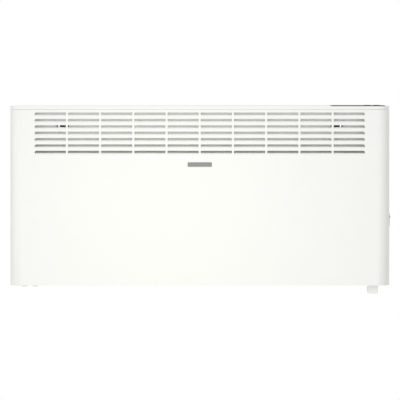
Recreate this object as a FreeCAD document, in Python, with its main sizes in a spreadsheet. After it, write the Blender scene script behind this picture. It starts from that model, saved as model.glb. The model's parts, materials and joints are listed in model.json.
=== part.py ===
"""Wall-hung electric panel convector heater, with its wall bracket.

Row frame: +X to the right seen from the room, +Y into the wall, +Z up, millimetres.
The origin is on the wall, in the middle of the bracket's four wall screws.
"""
import FreeCAD
import Part
import math
import os

import Sketcher
from FreeCAD import Placement, Rotation, Vector

# ---------------------------------------------------------------- driving sizes
SIZES = {
    # casing
    "casing_width": 897, "casing_height": 424, "casing_depth": 100, "casing_bottom": -200,
    "wall_gap": 23, "sheet": 0.8, "shell_depth": 45, "shell_bend": 4, "rim": 10, "lap": 12,
    "cover_width": 882, "cover_bend": 22, "cover_clear": 0.3,
    # outlet louvres
    "louvre_width": 73, "louvre_height": 10.6, "louvre_across": 78, "louvre_up": 15,
    "louvre_columns": 10, "louvre_rows": 7, "louvre_drop": 17.3, "louvre_lip": 6.4,
    "louvre_end_round": 4,
    # top trim and control unit
    "trim_height": 10.2, "seam": 0.4, "trim_round": 8, "trim_wall": 3, "trim_floor": 1.8,
    "panel_left": 286, "panel_back": 70, "panel_thick": 2.6, "panel_corner": 40,
    "window_left": 324, "window_right": 376, "window_front": -110, "window_back": -84,
    "key_length": 15, "key_width": 10, "key_proud": 0.7, "key_gap": 0.4, "key_travel": 0.8,
    "key_first": 394, "key_across": 22, "key_front": -104, "key_deep": 15, "key_flange": 1.2,
    "key_stem_radius": 1.8, "key_round": 2,
    "unit_left": 314, "unit_right": 430, "unit_front": -112, "unit_back": -74,
    "unit_bottom": 209.4, "unit_wall": 1.2, "board_thick": 1.6,
    "tact_side": 6, "tact_height": 2.6, "tact_plunger": 1.6,
    # inlet grille
    "grille_play": 0.6, "grille_notch": 14, "grille_recess": 2.6, "grille_rim": 10, "inlet_columns": 8,
    "inlet_rows": 5, "inlet_width": 70, "inlet_height": 8, "inlet_deep": 15,
    # wall bracket
    "rail_offset": 322, "rail_width": 40, "rail_sheet": 1.5, "rail_reach": 16,
    "rail_bottom": -184, "rail_top": 168, "screw_rise": 125, "screw_hole": 3.1,
    "hook_rest": -172, "hook_drop": 10, "hook_reach": 29.5, "hook_finger": 7, "hook_tip": 3.5,
    "bar_rise": 90, "bar_height": 30, "bar_reach": 12,
    "rivet_head": 3.2, "rivet_head_thick": 1.1,
    "catch_width": 22, "catch_thick": 0.9, "catch_foot": 138, "catch_level": 176,
    "catch_lip": 186, "catch_nose": 35, "catch_slope": 8,
    "catch_drop": 3.6,
    # openings in the back
    "catch_window_half": 15, "catch_window_low": 168, "catch_window_high": 181,
    "hook_slot_half": 3, "hook_slot_low": -187, "running_gap": 0.3,
    "bead_low": -73, "bead_high": 118, "bead_half": 250, "bead_height": 12, "bead_proud": 2,
    # air path and heating element
    "guide_gap": 15, "guide_sheet": 0.6, "guide_low": -150, "guide_turn": 24,
    "guide_throat": -97, "guide_ramp_top": 108, "guide_level": 208.8, "guide_end": -108,
    "guide_flange": 8, "chamber_half": 389, "divider_foot": 12,
    "divider_low": -187, "divider_high": 205, "divider_front": -117,
    "divider_tab": 12, "lead_hole": 3.5, "lead_hole_rise": -20, "lead_hole_back": -31,
    "element_rise": -108, "element_back": -78, "element_half": 362, "element_tube": 9,
    "element_arm": 33, "element_arm_thick": 2.2, "element_tilt": 40, "element_rib": 6,
    "rod_radius": 4.3, "rod_clear": 0.15, "rod_half": 402, "pin_radius": 2, "pin_end": 414,
    "bush_radius": 9, "bush_flange": 12, "bush_length": 22, "bush_brim": 3,
    "bush_proud": 4, "bush_clear": 0.2,
    "cutout_rise": -30, "cutout_radius": 8.5, "cutout_length": 11,
    # electronics in the right-hand bay
    "board_stand": 7, "board_low": 0, "board_high": 150, "board_front": -110, "board_rear": -38,
    "relay_low": 20, "relay_high": 49, "relay_front": -102, "relay_rear": -86, "relay_tall": 16,
    "capacitor_low": 66, "capacitor_high": 92, "capacitor_front": -100, "capacitor_rear": -88,
    "capacitor_tall": 14, "sink_low": 106, "sink_high": 140, "sink_front": -78, "sink_rear": -46,
    "sink_tall": 22, "sink_fins": 6, "fin_thick": 1.4, "sink_base": 3,
    "terminal_low": -132, "terminal_high": -110, "terminal_left": 403, "terminal_right": 441,
    "terminal_deep": 18, "terminal_port": 2.6,
    # mains switch in the right side
    "switch_rise": -45.5, "switch_back": -45.5, "bezel_tall": 30, "bezel_wide": 22,
    "bezel_thick": 2, "switch_tall": 26.8, "switch_wide": 18.6, "switch_deep": 24,
    "well_tall": 23, "well_wide": 14, "well_deep": 13.5, "rocker_gap": 0.35,
    "rocker_pivot": 5.2, "rocker_tilt": 9, "rocker_crown": 1, "rocker_hub": 3.4,
    "rocker_pin": 1.2, "rocker_pin_length": 1.4, "blade_wide": 6.3,
    "blade_thick": 0.8, "blade_long": 9, "blade_inset": 6,
    # room sensor, plugs, gland, labels
    "sensor_left": 396, "sensor_width": 24.4, "sensor_front": -94, "sensor_deep": 26,
    "sensor_drop": 19.5, "sensor_wall": 1.5, "sensor_round": 3, "sensor_flange": 2.2,
    "sensor_slit": 1.6, "sensor_slit_step": 3.6, "bead_radius": 2.4,
    "plug_outer": -413, "plug_inner": -387.6, "plug_back": -92, "plug_radius": 7,
    "plug_drop": 2.8, "plug_barrel": 5.4, "plug_hole": 5.8, "plug_rise": 6,
    "gland_across": 415, "gland_rise": -160, "gland_bore": 4.3, "gland_barrel": 7.4,
    "gland_flange": 11, "gland_flange_thick": 5, "gland_inside": 17, "gland_nut": 12,
    "gland_nut_thick": 6, "gland_clear": 0.1,
    "badge_half": 28.5, "badge_low": 79, "badge_high": 89.5, "badge_thick": 0.7, "badge_round": 2,
    "plate_left": 150, "plate_right": 225, "plate_low": -60, "plate_high": -10, "plate_thick": 0.4,
    "bumper_across": 418, "bumper_rise": -118, "bumper_radius": 8, "bumper_length": 21,
    # screws and leads
    "screw_head": 3.6, "screw_head_thick": 2.2, "screw_shank": 1.6, "screw_length": 7,
    "screw_hole_play": 0.1, "divider_screw": 395, "back_screw_rise": 150, "foot_screw": 200,
    "foot_screw_rise": -192, "floor_screw_front": -104, "floor_screw_rear": -50,
    "lead_radius": 1.3, "lead_bend": 9, "stud_across": 430, "stud_rise": -80, "stud_radius": 2,
    "stud_length": 11, "stud_nut": 4, "stud_nut_thick": 3, "ribbon_thick": 0.8,
    "ribbon_width": 10, "ribbon_across": 417, "ribbon_rear": -76, "ribbon_shelf": 158,
    "connector_low": 141, "connector_high": 149, "connector_tall": 8,
}

doc = FreeCAD.newDocument("panel_convector_heater")
sheet = doc.addObject("Spreadsheet::Sheet", "dims")
for row, (alias, number) in enumerate(SIZES.items(), start=1):
    sheet.set("A%d" % row, alias)
    sheet.set("B%d" % row, str(number))
    sheet.setAlias("B%d" % row, alias)
doc.recompute()


class Size:
    """A length from the sheet: its number now, and the formula that keeps it up to date."""

    def __init__(self, number, formula):
        self.number, self.formula = number, formula

    def __neg__(self):
        return Size(-self.number, "(-%s)" % self.formula)

    def __add__(self, other):
        other = as_size(other)
        return Size(self.number + other.number, "(%s + %s)" % (self.formula, other.formula))

    def __sub__(self, other):
        return self + (-as_size(other))

    def __mul__(self, other):
        other = as_size(other)
        return Size(self.number * other.number, "(%s * %s)" % (self.formula, other.formula))

    def __truediv__(self, other):
        other = as_size(other)
        return Size(self.number / other.number, "(%s / %s)" % (self.formula, other.formula))

    __radd__, __rmul__ = __add__, __mul__

    def __rsub__(self, other):
        return as_size(other) - self


def as_size(value):
    """A Size from a Size or a plain number."""
    return value if isinstance(value, Size) else Size(float(value), "(%s)" % float(value))


def cell(alias):
    """The sheet's cell with that alias, as a Size."""
    return Size(float(SIZES[alias]), "dims." + alias)


def bind(obj, prop, size):
    """Ties a property of an object to the sheet."""
    obj.setExpression(prop, as_size(size).formula)


# ---------------------------------------------------------------- planes that many pieces share
SHEET = cell("sheet")
HALF = cell("casing_width") / 2
COVER_HALF = cell("cover_width") / 2
BACK = -cell("wall_gap")
RIM = BACK - cell("shell_depth")
FRONT = BACK - cell("casing_depth")
BOTTOM = cell("casing_bottom")
TOP = BOTTOM + cell("casing_height")
TRIM_LOW = TOP - cell("trim_height")
COVER_TOP = TRIM_LOW - cell("seam")
COVER_BACK = RIM - cell("cover_clear")
GUIDE = BACK - cell("guide_gap")
CHAMBER = cell("chamber_half")
BAY = CHAMBER + SHEET
PANEL_LOW = TOP - cell("panel_thick")
FLOOR_LOW = PANEL_LOW - cell("trim_floor")
GRILLE_HIGH = BOTTOM + cell("grille_recess") + SHEET
SCREW_HOLE = cell("screw_shank") + cell("screw_hole_play")
LOUVRES_HALF = (cell("louvre_across") * (cell("louvre_columns") - 1) + cell("louvre_width")) / 2

NODES = []


def node(obj):
    """Marks an object as a sub-part that is written out under its label."""
    NODES.append(obj)
    return obj


# ---------------------------------------------------------------- Part helpers
def block(name, x, y, z):
    """A box from three (low, high) pairs."""
    box = doc.addObject("Part::Box", name)
    for axis, prop, (low, high) in zip("xyz", ("Length", "Width", "Height"), (x, y, z)):
        bind(box, "Placement.Base." + axis, low)
        bind(box, prop, as_size(high) - low)
    return box


TURNS = {"x": Rotation(Vector(0, 1, 0), 90), "y": Rotation(Vector(1, 0, 0), -90), "z": Rotation()}


def rod(name, axis, start, radius, length):
    """A cylinder from its start point, along +x, +y or +z."""
    bar = doc.addObject("Part::Cylinder", name)
    bar.Placement = Placement(Vector(), TURNS[axis])
    for coordinate, size in zip("xyz", start):
        bind(bar, "Placement.Base." + coordinate, size)
    bind(bar, "Radius", radius)
    bind(bar, "Height", length)
    return bar


def join(name, pieces):
    """Several touching solids as one."""
    fused = doc.addObject("Part::MultiFuse", name)
    fused.Shapes = pieces
    fused.Refine = True
    return fused


def group(name, pieces):
    """Several separate solids under one name."""
    together = doc.addObject("Part::Compound", name)
    together.Links = pieces
    return together


def cut(name, base, tools):
    """A solid less one tool or several."""
    remains = doc.addObject("Part::Cut", name)
    remains.Base = base
    remains.Tool = tools[0] if len(tools) == 1 else group(name + "_tools", tools)
    remains.Refine = True
    return remains


def round_edges(name, base, radius, wanted):
    """Part fillet on the edges that wanted(edge) picks."""
    doc.recompute()
    fillet = doc.addObject("Part::Fillet", name)
    fillet.Base = base
    r = as_size(radius).number
    picked = [i for i, edge in enumerate(base.Shape.Edges, start=1) if wanted(edge)]
    fillet.Edges = [(i, r, r) for i in picked]
    return fillet


def upright(edge):
    """True for a straight edge along Z."""
    return edge.Curve.TypeId == "Part::GeomLine" and abs(edge.tangentAt(0).z) > 0.99


# ---------------------------------------------------------------- PartDesign helpers
def new_body(label):
    return doc.addObject("PartDesign::Body", label)


def new_sketch(body, plane, offset=0):
    """A sketch on one of the body's own origin planes, moved along that plane's normal."""
    sk = body.newObject("Sketcher::SketchObject", body.Label + "_sketch")
    base = next(f for f in body.Origin.OriginFeatures if f.Role == plane)
    sk.AttachmentSupport = [(base, "")]
    sk.MapMode = "FlatFace"
    bind(sk, "AttachmentOffset.Base.z", offset)
    return sk


def pin_point(sk, geometry, end, x, y):
    """Places one end of a sketch line by two bound distances from the origin."""
    for kind, size in (("DistanceX", as_size(x)), ("DistanceY", as_size(y))):
        index = sk.addConstraint(Sketcher.Constraint(kind, -1, 1, geometry, end, size.number))
        sk.setExpression("Constraints[%d]" % index, size.formula)


def sign(value):
    return (value > 1e-9) - (value < -1e-9)


def outline(sk, corners):
    """A closed outline. A corner is (x, y), or (x, y, r) to round a square corner by r."""
    corners = [tuple(as_size(c) for c in corner) for corner in corners]
    legs = []
    for i, corner in enumerate(corners):
        x, y = corner[:2]
        if len(corner) == 2:
            legs.append([(x, y)])
            continue
        r = corner[2]
        ends = []
        for other in (corners[i - 1], corners[(i + 1) % len(corners)]):
            dx, dy = sign(other[0].number - x.number), sign(other[1].number - y.number)
            ends.append((x + r * dx, y + r * dy))
        legs.append(ends)
    lines = []
    for i, leg in enumerate(legs):
        start, end = leg[-1], legs[(i + 1) % len(legs)][0]
        a = Vector(start[0].number, start[1].number, 0)
        b = Vector(end[0].number, end[1].number, 0)
        lines.append(sk.addGeometry(Part.LineSegment(a, b), False))
    for i, (line, leg) in enumerate(zip(lines, legs)):
        before = lines[i - 1]
        pin_point(sk, line, 1, *leg[-1])
        if len(leg) == 1:
            sk.addConstraint(Sketcher.Constraint("Coincident", before, 2, line, 1))
            continue
        pin_point(sk, before, 2, *leg[0])
        first, last = (Vector(p[0].number, p[1].number, 0) for p in leg)
        corner = Vector(corners[i][0].number, corners[i][1].number, 0)
        centre = first + last - corner
        middle = centre + (corner - centre).normalize() * (first - centre).Length
        arc = sk.addGeometry(Part.Arc(first, middle, last), False)
        ways = {1: sk.getPoint(arc, 1), 2: sk.getPoint(arc, 2)}
        near = 1 if (ways[1] - first).Length < (ways[2] - first).Length else 2
        sk.addConstraint(Sketcher.Constraint("Coincident", before, 2, arc, near))
        sk.addConstraint(Sketcher.Constraint("Coincident", line, 1, arc, 3 - near))
        radius = corners[i][2]
        index = sk.addConstraint(Sketcher.Constraint("Radius", arc, radius.number))
        sk.setExpression("Constraints[%d]" % index, radius.formula)


def rectangle(sk, x, y):
    """A rectangle from two (low, high) pairs."""
    outline(sk, [(x[0], y[0]), (x[1], y[0]), (x[1], y[1]), (x[0], y[1])])


def circle(sk, x, y, radius):
    """A circle whose centre and radius are bound."""
    x, y, radius = as_size(x), as_size(y), as_size(radius)
    ring = Part.Circle(Vector(x.number, y.number, 0), Vector(0, 0, 1), radius.number)
    index = sk.addGeometry(ring, False)
    pin_point(sk, index, 3, x, y)
    bound = sk.addConstraint(Sketcher.Constraint("Radius", index, radius.number))
    sk.setExpression("Constraints[%d]" % bound, radius.formula)


def pad(body, sk, length):
    """Adds the sketch's outline along its plane's normal."""
    feature = body.newObject("PartDesign::Pad", body.Label + "_pad")
    feature.Profile = sk
    bind(feature, "Length", length)
    sk.Visibility = False
    return feature


def pocket(body, sk, length):
    """Cuts the sketch's outline, against its plane's normal."""
    doc.recompute()
    before = body.Shape.Volume
    feature = body.newObject("PartDesign::Pocket", body.Label + "_pocket")
    feature.Profile = sk
    bind(feature, "Length", length)
    doc.recompute()
    if body.Shape.Volume > before - 1e-3:
        raise RuntimeError("a pocket in %s cuts nothing" % body.Label)
    return feature


def repeat(body, feature, backwards, along, span, count):
    """Repeats a feature evenly along one of the body's axes, over a whole span."""
    pattern = body.newObject("PartDesign::LinearPattern", body.Label + "_pattern")
    pattern.Originals = [feature]
    pattern.Direction = (next(f for f in body.Origin.OriginFeatures if f.Role == along), [""])
    pattern.Reversed = backwards
    bind(pattern, "Length", span)
    bind(pattern, "Occurrences", count)
    body.Tip = pattern
    return pattern


def back_screw_places():
    """Screws through the casing's back, as (x, z): into the dividers and the inlet grille."""
    places = []
    for side in (-1, 1):
        for step in (-1, 0, 1):
            places.append((cell("divider_screw") * side, cell("back_screw_rise") * step))
        places.append((cell("foot_screw") * side, cell("foot_screw_rise")))
    return places


def floor_screw_places():
    """Screws through the inlet grille into the dividers' feet, as (x, y)."""
    rows = (cell("floor_screw_front"), cell("floor_screw_rear"))
    return [(cell("divider_screw") * side, y) for side in (-1, 1) for y in rows]


# ---------------------------------------------------------------- casing shells
def notch_for_grille(body, start, reach, sides):
    """Cuts the foot of an upright flange away, out to reach, where the grille passes."""
    notch = new_sketch(body, "XZ_Plane", -start)
    for side in sides:
        near, far = LOUVRES_HALF * side, reach * side
        rectangle(notch, (near, far), (BOTTOM - 1, BOTTOM + cell("grille_notch")))
    pocket(body, notch, SHEET + 2)


def make_rear_panel():
    """Flat back sheet with two stiffening beads and the openings for the wall bracket."""
    body = new_body("rear_panel")
    half, high = HALF - cell("lap") - cell("running_gap"), TOP - cell("lap") - cell("running_gap")
    plate = new_sketch(body, "XZ_Plane", -BACK)
    rectangle(plate, (-half, half), (BOTTOM, high))
    pad(body, plate, SHEET)
    bead = new_sketch(body, "XZ_Plane", -(BACK + cell("bead_proud")))
    hollow = new_sketch(body, "XZ_Plane", -(BACK - SHEET))
    for rise in ("bead_low", "bead_high"):
        low, high = cell(rise) - cell("bead_height"), cell(rise) + cell("bead_height")
        reach = cell("bead_half")
        rectangle(bead, (-reach, reach), (low, high))
        rectangle(hollow, (SHEET - reach, reach - SHEET), (low + SHEET, high - SHEET))
    pad(body, bead, cell("bead_proud"))
    pocket(body, hollow, cell("bead_proud"))
    openings = new_sketch(body, "XZ_Plane", -(BACK - SHEET * 2))
    for side in (-1, 1):
        middle = cell("rail_offset") * side
        reach = cell("catch_window_half")
        rectangle(openings, (middle - reach, middle + reach),
                  (cell("catch_window_low"), cell("catch_window_high")))
        for flange in (-1, 1):
            hook = middle + (cell("rail_width") - cell("rail_sheet")) / 2 * flange
            rectangle(openings, (hook - cell("hook_slot_half"), hook + cell("hook_slot_half")),
                      (cell("hook_slot_low"), cell("hook_rest") + cell("running_gap")))
    circle(openings, cell("gland_across"), cell("gland_rise"),
           cell("gland_barrel") + cell("gland_clear"))
    for x, z in back_screw_places():
        circle(openings, x, z, SCREW_HOLE)
    pocket(body, openings, SHEET * 3)
    return node(body)


def make_end_channel(side):
    """Upright channel at one end: front rim, side wall and a lap beside the back sheet."""
    body = new_body("end_channel_left" if side < 0 else "end_channel_right")
    outer, inner = HALF * side, (HALF - SHEET) * side
    rim_edge, lap_edge = (HALF - cell("rim")) * side, (HALF - cell("lap")) * side
    bend = cell("shell_bend")
    plan = new_sketch(body, "XY_Plane", BOTTOM)
    outline(plan, [
        (rim_edge, RIM), (outer, RIM), (outer, BACK, bend), (lap_edge, BACK),
        (lap_edge, BACK - SHEET), (inner, BACK - SHEET, bend - SHEET), (inner, RIM + SHEET),
        (rim_edge, RIM + SHEET),
    ])
    pad(body, plan, TOP - SHEET - BOTTOM)
    notch_for_grille(body, RIM - 1, COVER_HALF, [side])
    if side > 0:
        opening = new_sketch(body, "YZ_Plane", HALF + SHEET)
        reach = cell("switch_wide") / 2 + 0.2
        rise = cell("switch_tall") / 2 + 0.2
        rectangle(opening, (cell("switch_back") - reach, cell("switch_back") + reach),
                  (cell("switch_rise") - rise, cell("switch_rise") + rise))
        pocket(body, opening, SHEET * 3)
    return node(body)


def make_top_channel():
    """Top sheet with a brow at the rim and a lap above the back sheet."""
    body = new_body("top_channel")
    lid = new_sketch(body, "XY_Plane", TOP - SHEET)
    bend = cell("shell_bend")
    outline(lid, [(-HALF, RIM), (HALF, RIM), (HALF, BACK, bend), (-HALF, BACK, bend)])
    pad(body, lid, SHEET)
    for plane, inset, drop in ((RIM + SHEET, "rim", "rim"), (BACK, "lap", "lap")):
        flange = new_sketch(body, "XZ_Plane", -plane)
        half = HALF - cell(inset) - cell("running_gap")
        rectangle(flange, (-half, half), (TOP - cell(drop), TOP - SHEET))
        pad(body, flange, SHEET)
    return node(body)


def make_front_cover():
    """Front sheet with rounded vertical edges, folded top and seventy outlet louvres."""
    body = new_body("front_cover")
    inner, tab = COVER_HALF - SHEET, COVER_HALF - cell("rim")
    bend = cell("cover_bend")
    plan = new_sketch(body, "XY_Plane", BOTTOM)
    outline(plan, [
        (-COVER_HALF, COVER_BACK), (-COVER_HALF, FRONT, bend), (COVER_HALF, FRONT, bend),
        (COVER_HALF, COVER_BACK), (tab, COVER_BACK), (tab, COVER_BACK - SHEET),
        (inner, COVER_BACK - SHEET), (inner, FRONT + SHEET, bend - SHEET),
        (-inner, FRONT + SHEET, bend - SHEET), (-inner, COVER_BACK - SHEET),
        (-tab, COVER_BACK - SHEET), (-tab, COVER_BACK),
    ])
    pad(body, plan, COVER_TOP - BOTTOM)
    fold = new_sketch(body, "XY_Plane", COVER_TOP - SHEET)
    outline(fold, [(-COVER_HALF, COVER_BACK), (-COVER_HALF, FRONT, bend),
                   (COVER_HALF, FRONT, bend), (COVER_HALF, COVER_BACK)])
    pad(body, fold, SHEET)
    notch_for_grille(body, COVER_BACK - SHEET - 1, COVER_HALF - SHEET, (-1, 1))
    well = new_sketch(body, "XY_Plane", COVER_TOP + SHEET)
    rectangle(well, (cell("unit_left") - 1, cell("unit_right") + 1),
              (cell("unit_front") - 1, cell("unit_back") + 1))
    pocket(body, well, SHEET * 3)
    louvre_top = TOP - cell("louvre_drop")
    louvre_low = louvre_top - cell("louvre_height")
    span = cell("louvre_up") * (cell("louvre_rows") - 1)
    slots = new_sketch(body, "XZ_Plane", -(FRONT - SHEET))
    last = SIZES["louvre_columns"] - 1
    for column in range(last + 1):
        left = cell("louvre_across") * column - LOUVRES_HALF
        right = left + cell("louvre_width")
        near = [cell("louvre_end_round")] if column == 0 else []
        far = [cell("louvre_end_round")] if column == last else []
        outline(slots, [(left, louvre_low, *near), (right, louvre_low, *far),
                        (right, louvre_top, *far), (left, louvre_top, *near)])
    cuts = pocket(body, slots, SHEET * 3)
    repeat(body, cuts, True, "Z_Axis", span, cell("louvre_rows"))
    lip = cell("louvre_lip")
    roll = new_sketch(body, "YZ_Plane", -LOUVRES_HALF)
    outline(roll, [(FRONT, louvre_low - 1), (FRONT, louvre_low + lip, lip),
                   (FRONT + lip + 1, louvre_low + lip), (FRONT + lip + 1, louvre_low + lip - SHEET),
                   (FRONT + SHEET, louvre_low + lip - SHEET, lip - SHEET),
                   (FRONT + SHEET, louvre_low - 1)])
    rolled = pad(body, roll, LOUVRES_HALF * 2)
    repeat(body, rolled, True, "Z_Axis", span, cell("louvre_rows"))
    return node(body)


def make_bottom_grille():
    """Shallow sheet tray that closes the casing from below and lets the cool air in."""
    body = new_body("bottom_grille")
    low, play = BOTTOM + cell("grille_recess"), cell("grille_play")
    front, back = FRONT + SHEET + play, BACK - SHEET - play
    waist = RIM + SHEET + play
    half, rear_half = COVER_HALF - SHEET - play, HALF - SHEET - play
    bend, rear_bend = cell("cover_bend") - SHEET, cell("shell_bend") - SHEET

    def tray_outline(sk, inset):
        corner = bend - inset
        outline(sk, [
            (inset - half, front + inset, corner), (half - inset, front + inset, corner),
            (half - inset, waist + inset), (rear_half - inset, waist + inset),
            (rear_half - inset, back - inset, rear_bend - inset),
            (inset - rear_half, back - inset, rear_bend - inset),
            (inset - rear_half, waist + inset), (inset - half, waist + inset),
        ])

    plate = new_sketch(body, "XY_Plane", low)
    tray_outline(plate, as_size(0))
    pad(body, plate, SHEET)
    wall = new_sketch(body, "XY_Plane", low)
    tray_outline(wall, as_size(0))
    tray_outline(wall, SHEET)
    pad(body, wall, cell("grille_rim"))
    step, count = cell("inlet_deep"), cell("inlet_rows")
    span = step * (count - 1)
    start = (front + back - span - cell("inlet_height")) / 2
    slots = new_sketch(body, "XY_Plane", low + SHEET * 2)
    field = cell("louvre_across") * (cell("inlet_columns") - 1) + cell("inlet_width")
    for column in range(SIZES["inlet_columns"]):
        left = cell("louvre_across") * column - field / 2
        rectangle(slots, (left, left + cell("inlet_width")), (start, start + cell("inlet_height")))
    cuts = pocket(body, slots, SHEET * 4)
    repeat(body, cuts, False, "Y_Axis", span, count)
    holes = new_sketch(body, "XY_Plane", low + SHEET * 2)
    left, deep = cell("sensor_left"), cell("sensor_front")
    rectangle(holes, (left - 0.3, left + cell("sensor_width") + 0.3),
              (deep - 0.3, deep + cell("sensor_deep") + 0.3))
    for across in ("plug_outer", "plug_inner"):
        circle(holes, cell(across), cell("plug_back"), cell("plug_hole"))
    for x, y in floor_screw_places():
        circle(holes, x, y, SCREW_HOLE)
    pocket(body, holes, SHEET * 4)
    rear_holes = new_sketch(body, "XZ_Plane", -(back - SHEET * 2))
    for side in (-1, 1):
        circle(rear_holes, cell("foot_screw") * side, cell("foot_screw_rise"), SCREW_HOLE)
    pocket(body, rear_holes, SHEET * 3)
    return node(body)


# ---------------------------------------------------------------- top trim and control unit
def panel_blank(name, low, high):
    """The control panel's plan, with its rounded left corners, between two heights."""
    body = new_body(name)
    plan = new_sketch(body, "XY_Plane", low)
    left, back, far = cell("panel_left"), -cell("panel_back"), HALF + cell("rim")
    outline(plan, [(left, FRONT - 1, cell("panel_corner")), (far, FRONT - 1), (far, back),
                   (left, back, cell("panel_corner") / 3)])
    pad(body, plan, high - low)
    return body


def key_places():
    """Middle of each key, as (name, x, y)."""
    names = ("key_menu", "key_enter", "key_minus", "key_plus")
    places = []
    for index, name in enumerate(names):
        across = cell("key_first") + cell("key_across") * (index // 2)
        deep = cell("key_front") + cell("key_deep") * (index % 2)
        places.append((name, across, deep))
    return places


def key_block(name, x, y, z, margin):
    """The key's outline plus a margin all round, between two heights."""
    reach_x, reach_y = cell("key_length") / 2 + margin, cell("key_width") / 2 + margin
    return block(name, (x - reach_x, x + reach_x), (y - reach_y, y + reach_y), z)


def key_mouth(name, x, y, z):
    """A rounded hole for one key, between two heights."""
    gap = cell("key_gap")
    plain = key_block(name + "_plain", x, y, z, gap)
    return round_edges(name, plain, cell("key_round") + gap, upright)


def make_top_trim():
    """Moulded trim along the top, and the dark panel let into its right-hand end."""
    form = new_body("trim_form")
    plan = new_sketch(form, "XY_Plane", TRIM_LOW)
    bend = cell("cover_bend")
    outline(plan, [(-COVER_HALF, COVER_BACK), (-COVER_HALF, FRONT, bend),
                   (COVER_HALF, FRONT, bend), (COVER_HALF, COVER_BACK)])
    pad(form, plan, TOP - TRIM_LOW)
    doc.recompute()

    def top_outside(edge):
        box = edge.BoundBox
        at_top = min(box.ZMin, box.ZMax) > TOP.number - 0.01
        return at_top and not (box.YMin > COVER_BACK.number - 0.01)

    shaped = round_edges("trim_shaped", form, cell("trim_round"), top_outside)
    wall = cell("trim_wall")
    cavity = block("trim_cavity", (wall - COVER_HALF, COVER_HALF - wall),
                   (FRONT + wall * 1.6, COVER_BACK - wall), (TRIM_LOW - 1, FLOOR_LOW))
    inner = round_edges("trim_cavity_round", cavity, bend - wall * 1.5,
                        lambda e: upright(e) and e.BoundBox.YMax < (FRONT + wall * 3).number)
    recess = panel_blank("panel_recess", PANEL_LOW, TOP + 1)
    through = [block("window_hole", (cell("window_left"), cell("window_right")),
                     (cell("window_front"), cell("window_back")), (FLOOR_LOW - 1, TOP + 1))]
    for name, x, y in key_places():
        through.append(key_mouth(name + "_hole", x, y, (FLOOR_LOW - 1, TOP + 1)))
    node(cut("top_trim", shaped, [inner, recess] + through))
    common = doc.addObject("Part::Common", "panel_shaped")
    common.Base = shaped
    common.Tool = panel_blank("panel_blank", PANEL_LOW + 0.02, TOP + 1)
    panel_holes = []
    for name, x, y in key_places():
        panel_holes.append(key_mouth(name + "_mouth", x, y, (FLOOR_LOW - 1, TOP + 1)))
    glass = block("window_mouth", (cell("window_left"), cell("window_right")),
                  (cell("window_front"), cell("window_back")), (PANEL_LOW - 1, TOP - 0.8))
    node(cut("control_panel", common, panel_holes + [glass]))


def make_keys():
    """Four push keys: cap, retaining flange and a stem that reaches for its switch."""
    stem_low = cell("unit_bottom") + cell("unit_wall") + cell("board_thick") + 0.2
    stem_low = stem_low + cell("tact_height") + cell("tact_plunger")
    stem_low = stem_low + cell("key_travel") + cell("running_gap")
    flange_high = FLOOR_LOW - cell("running_gap")
    for name, x, y in key_places():
        cap = key_block(name + "_cap", x, y, (flange_high, TOP + cell("key_proud")), 0)
        soft = round_edges(name + "_soft", cap, cell("key_round"), upright)
        doc.recompute()
        eased = round_edges(name + "_eased", soft, 0.4,
                            lambda e: e.BoundBox.ZMin > (TOP + cell("key_proud")).number - 0.01)
        flange = key_block(name + "_flange", x, y, (flange_high - cell("key_flange"), flange_high),
                           cell("key_flange"))
        stem = rod(name + "_stem", "z", (x, y, stem_low), cell("key_stem_radius"),
                   flange_high - stem_low)
        node(join(name, [eased, flange, stem]))


def make_control_unit():
    """Tray under the trim with the display, its board and the four key switches."""
    left, right = cell("unit_left"), cell("unit_right")
    front, back = cell("unit_front"), cell("unit_back")
    low, wall = cell("unit_bottom"), cell("unit_wall")
    outer = block("unit_outer", (left, right), (front, back), (low, TRIM_LOW + 2))
    inner = block("unit_inner", (left + wall, right - wall), (front + wall, back - wall),
                  (low + wall, TRIM_LOW + 3))
    across, rear = cell("ribbon_across"), cell("ribbon_rear")
    exit_hole = block("unit_exit", (across - 3, across + 3),
                      (rear - cell("ribbon_width") - 1, rear + 1), (low - 1, low + wall + 1))
    node(cut("control_tray", outer, [inner, exit_hole]))
    board_low = low + wall + 0.2
    board_high = board_low + cell("board_thick")
    node(block("control_board", (left + wall + 0.5, right - wall - 0.5),
               (front + wall + 0.5, back - wall - 0.5), (board_low, board_high)))
    side = cell("tact_side") / 2
    switches = []
    for name, x, y in key_places():
        can = block(name + "_can", (x - side, x + side), (y - side, y + side),
                    (board_high, board_high + cell("tact_height")))
        plunger = rod(name + "_plunger", "z", (x, y, board_high + cell("tact_height")),
                      cell("key_stem_radius"), cell("tact_plunger"))
        switches.append(join(name + "_switch", [can, plunger]))
    node(group("key_switches", switches))
    glass = block("display_module", (cell("window_left") + 0.3, cell("window_right") - 0.3),
                  (cell("window_front") + 0.3, cell("window_back") - 0.3),
                  (board_high, TOP - 0.85))
    node(glass)


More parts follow.
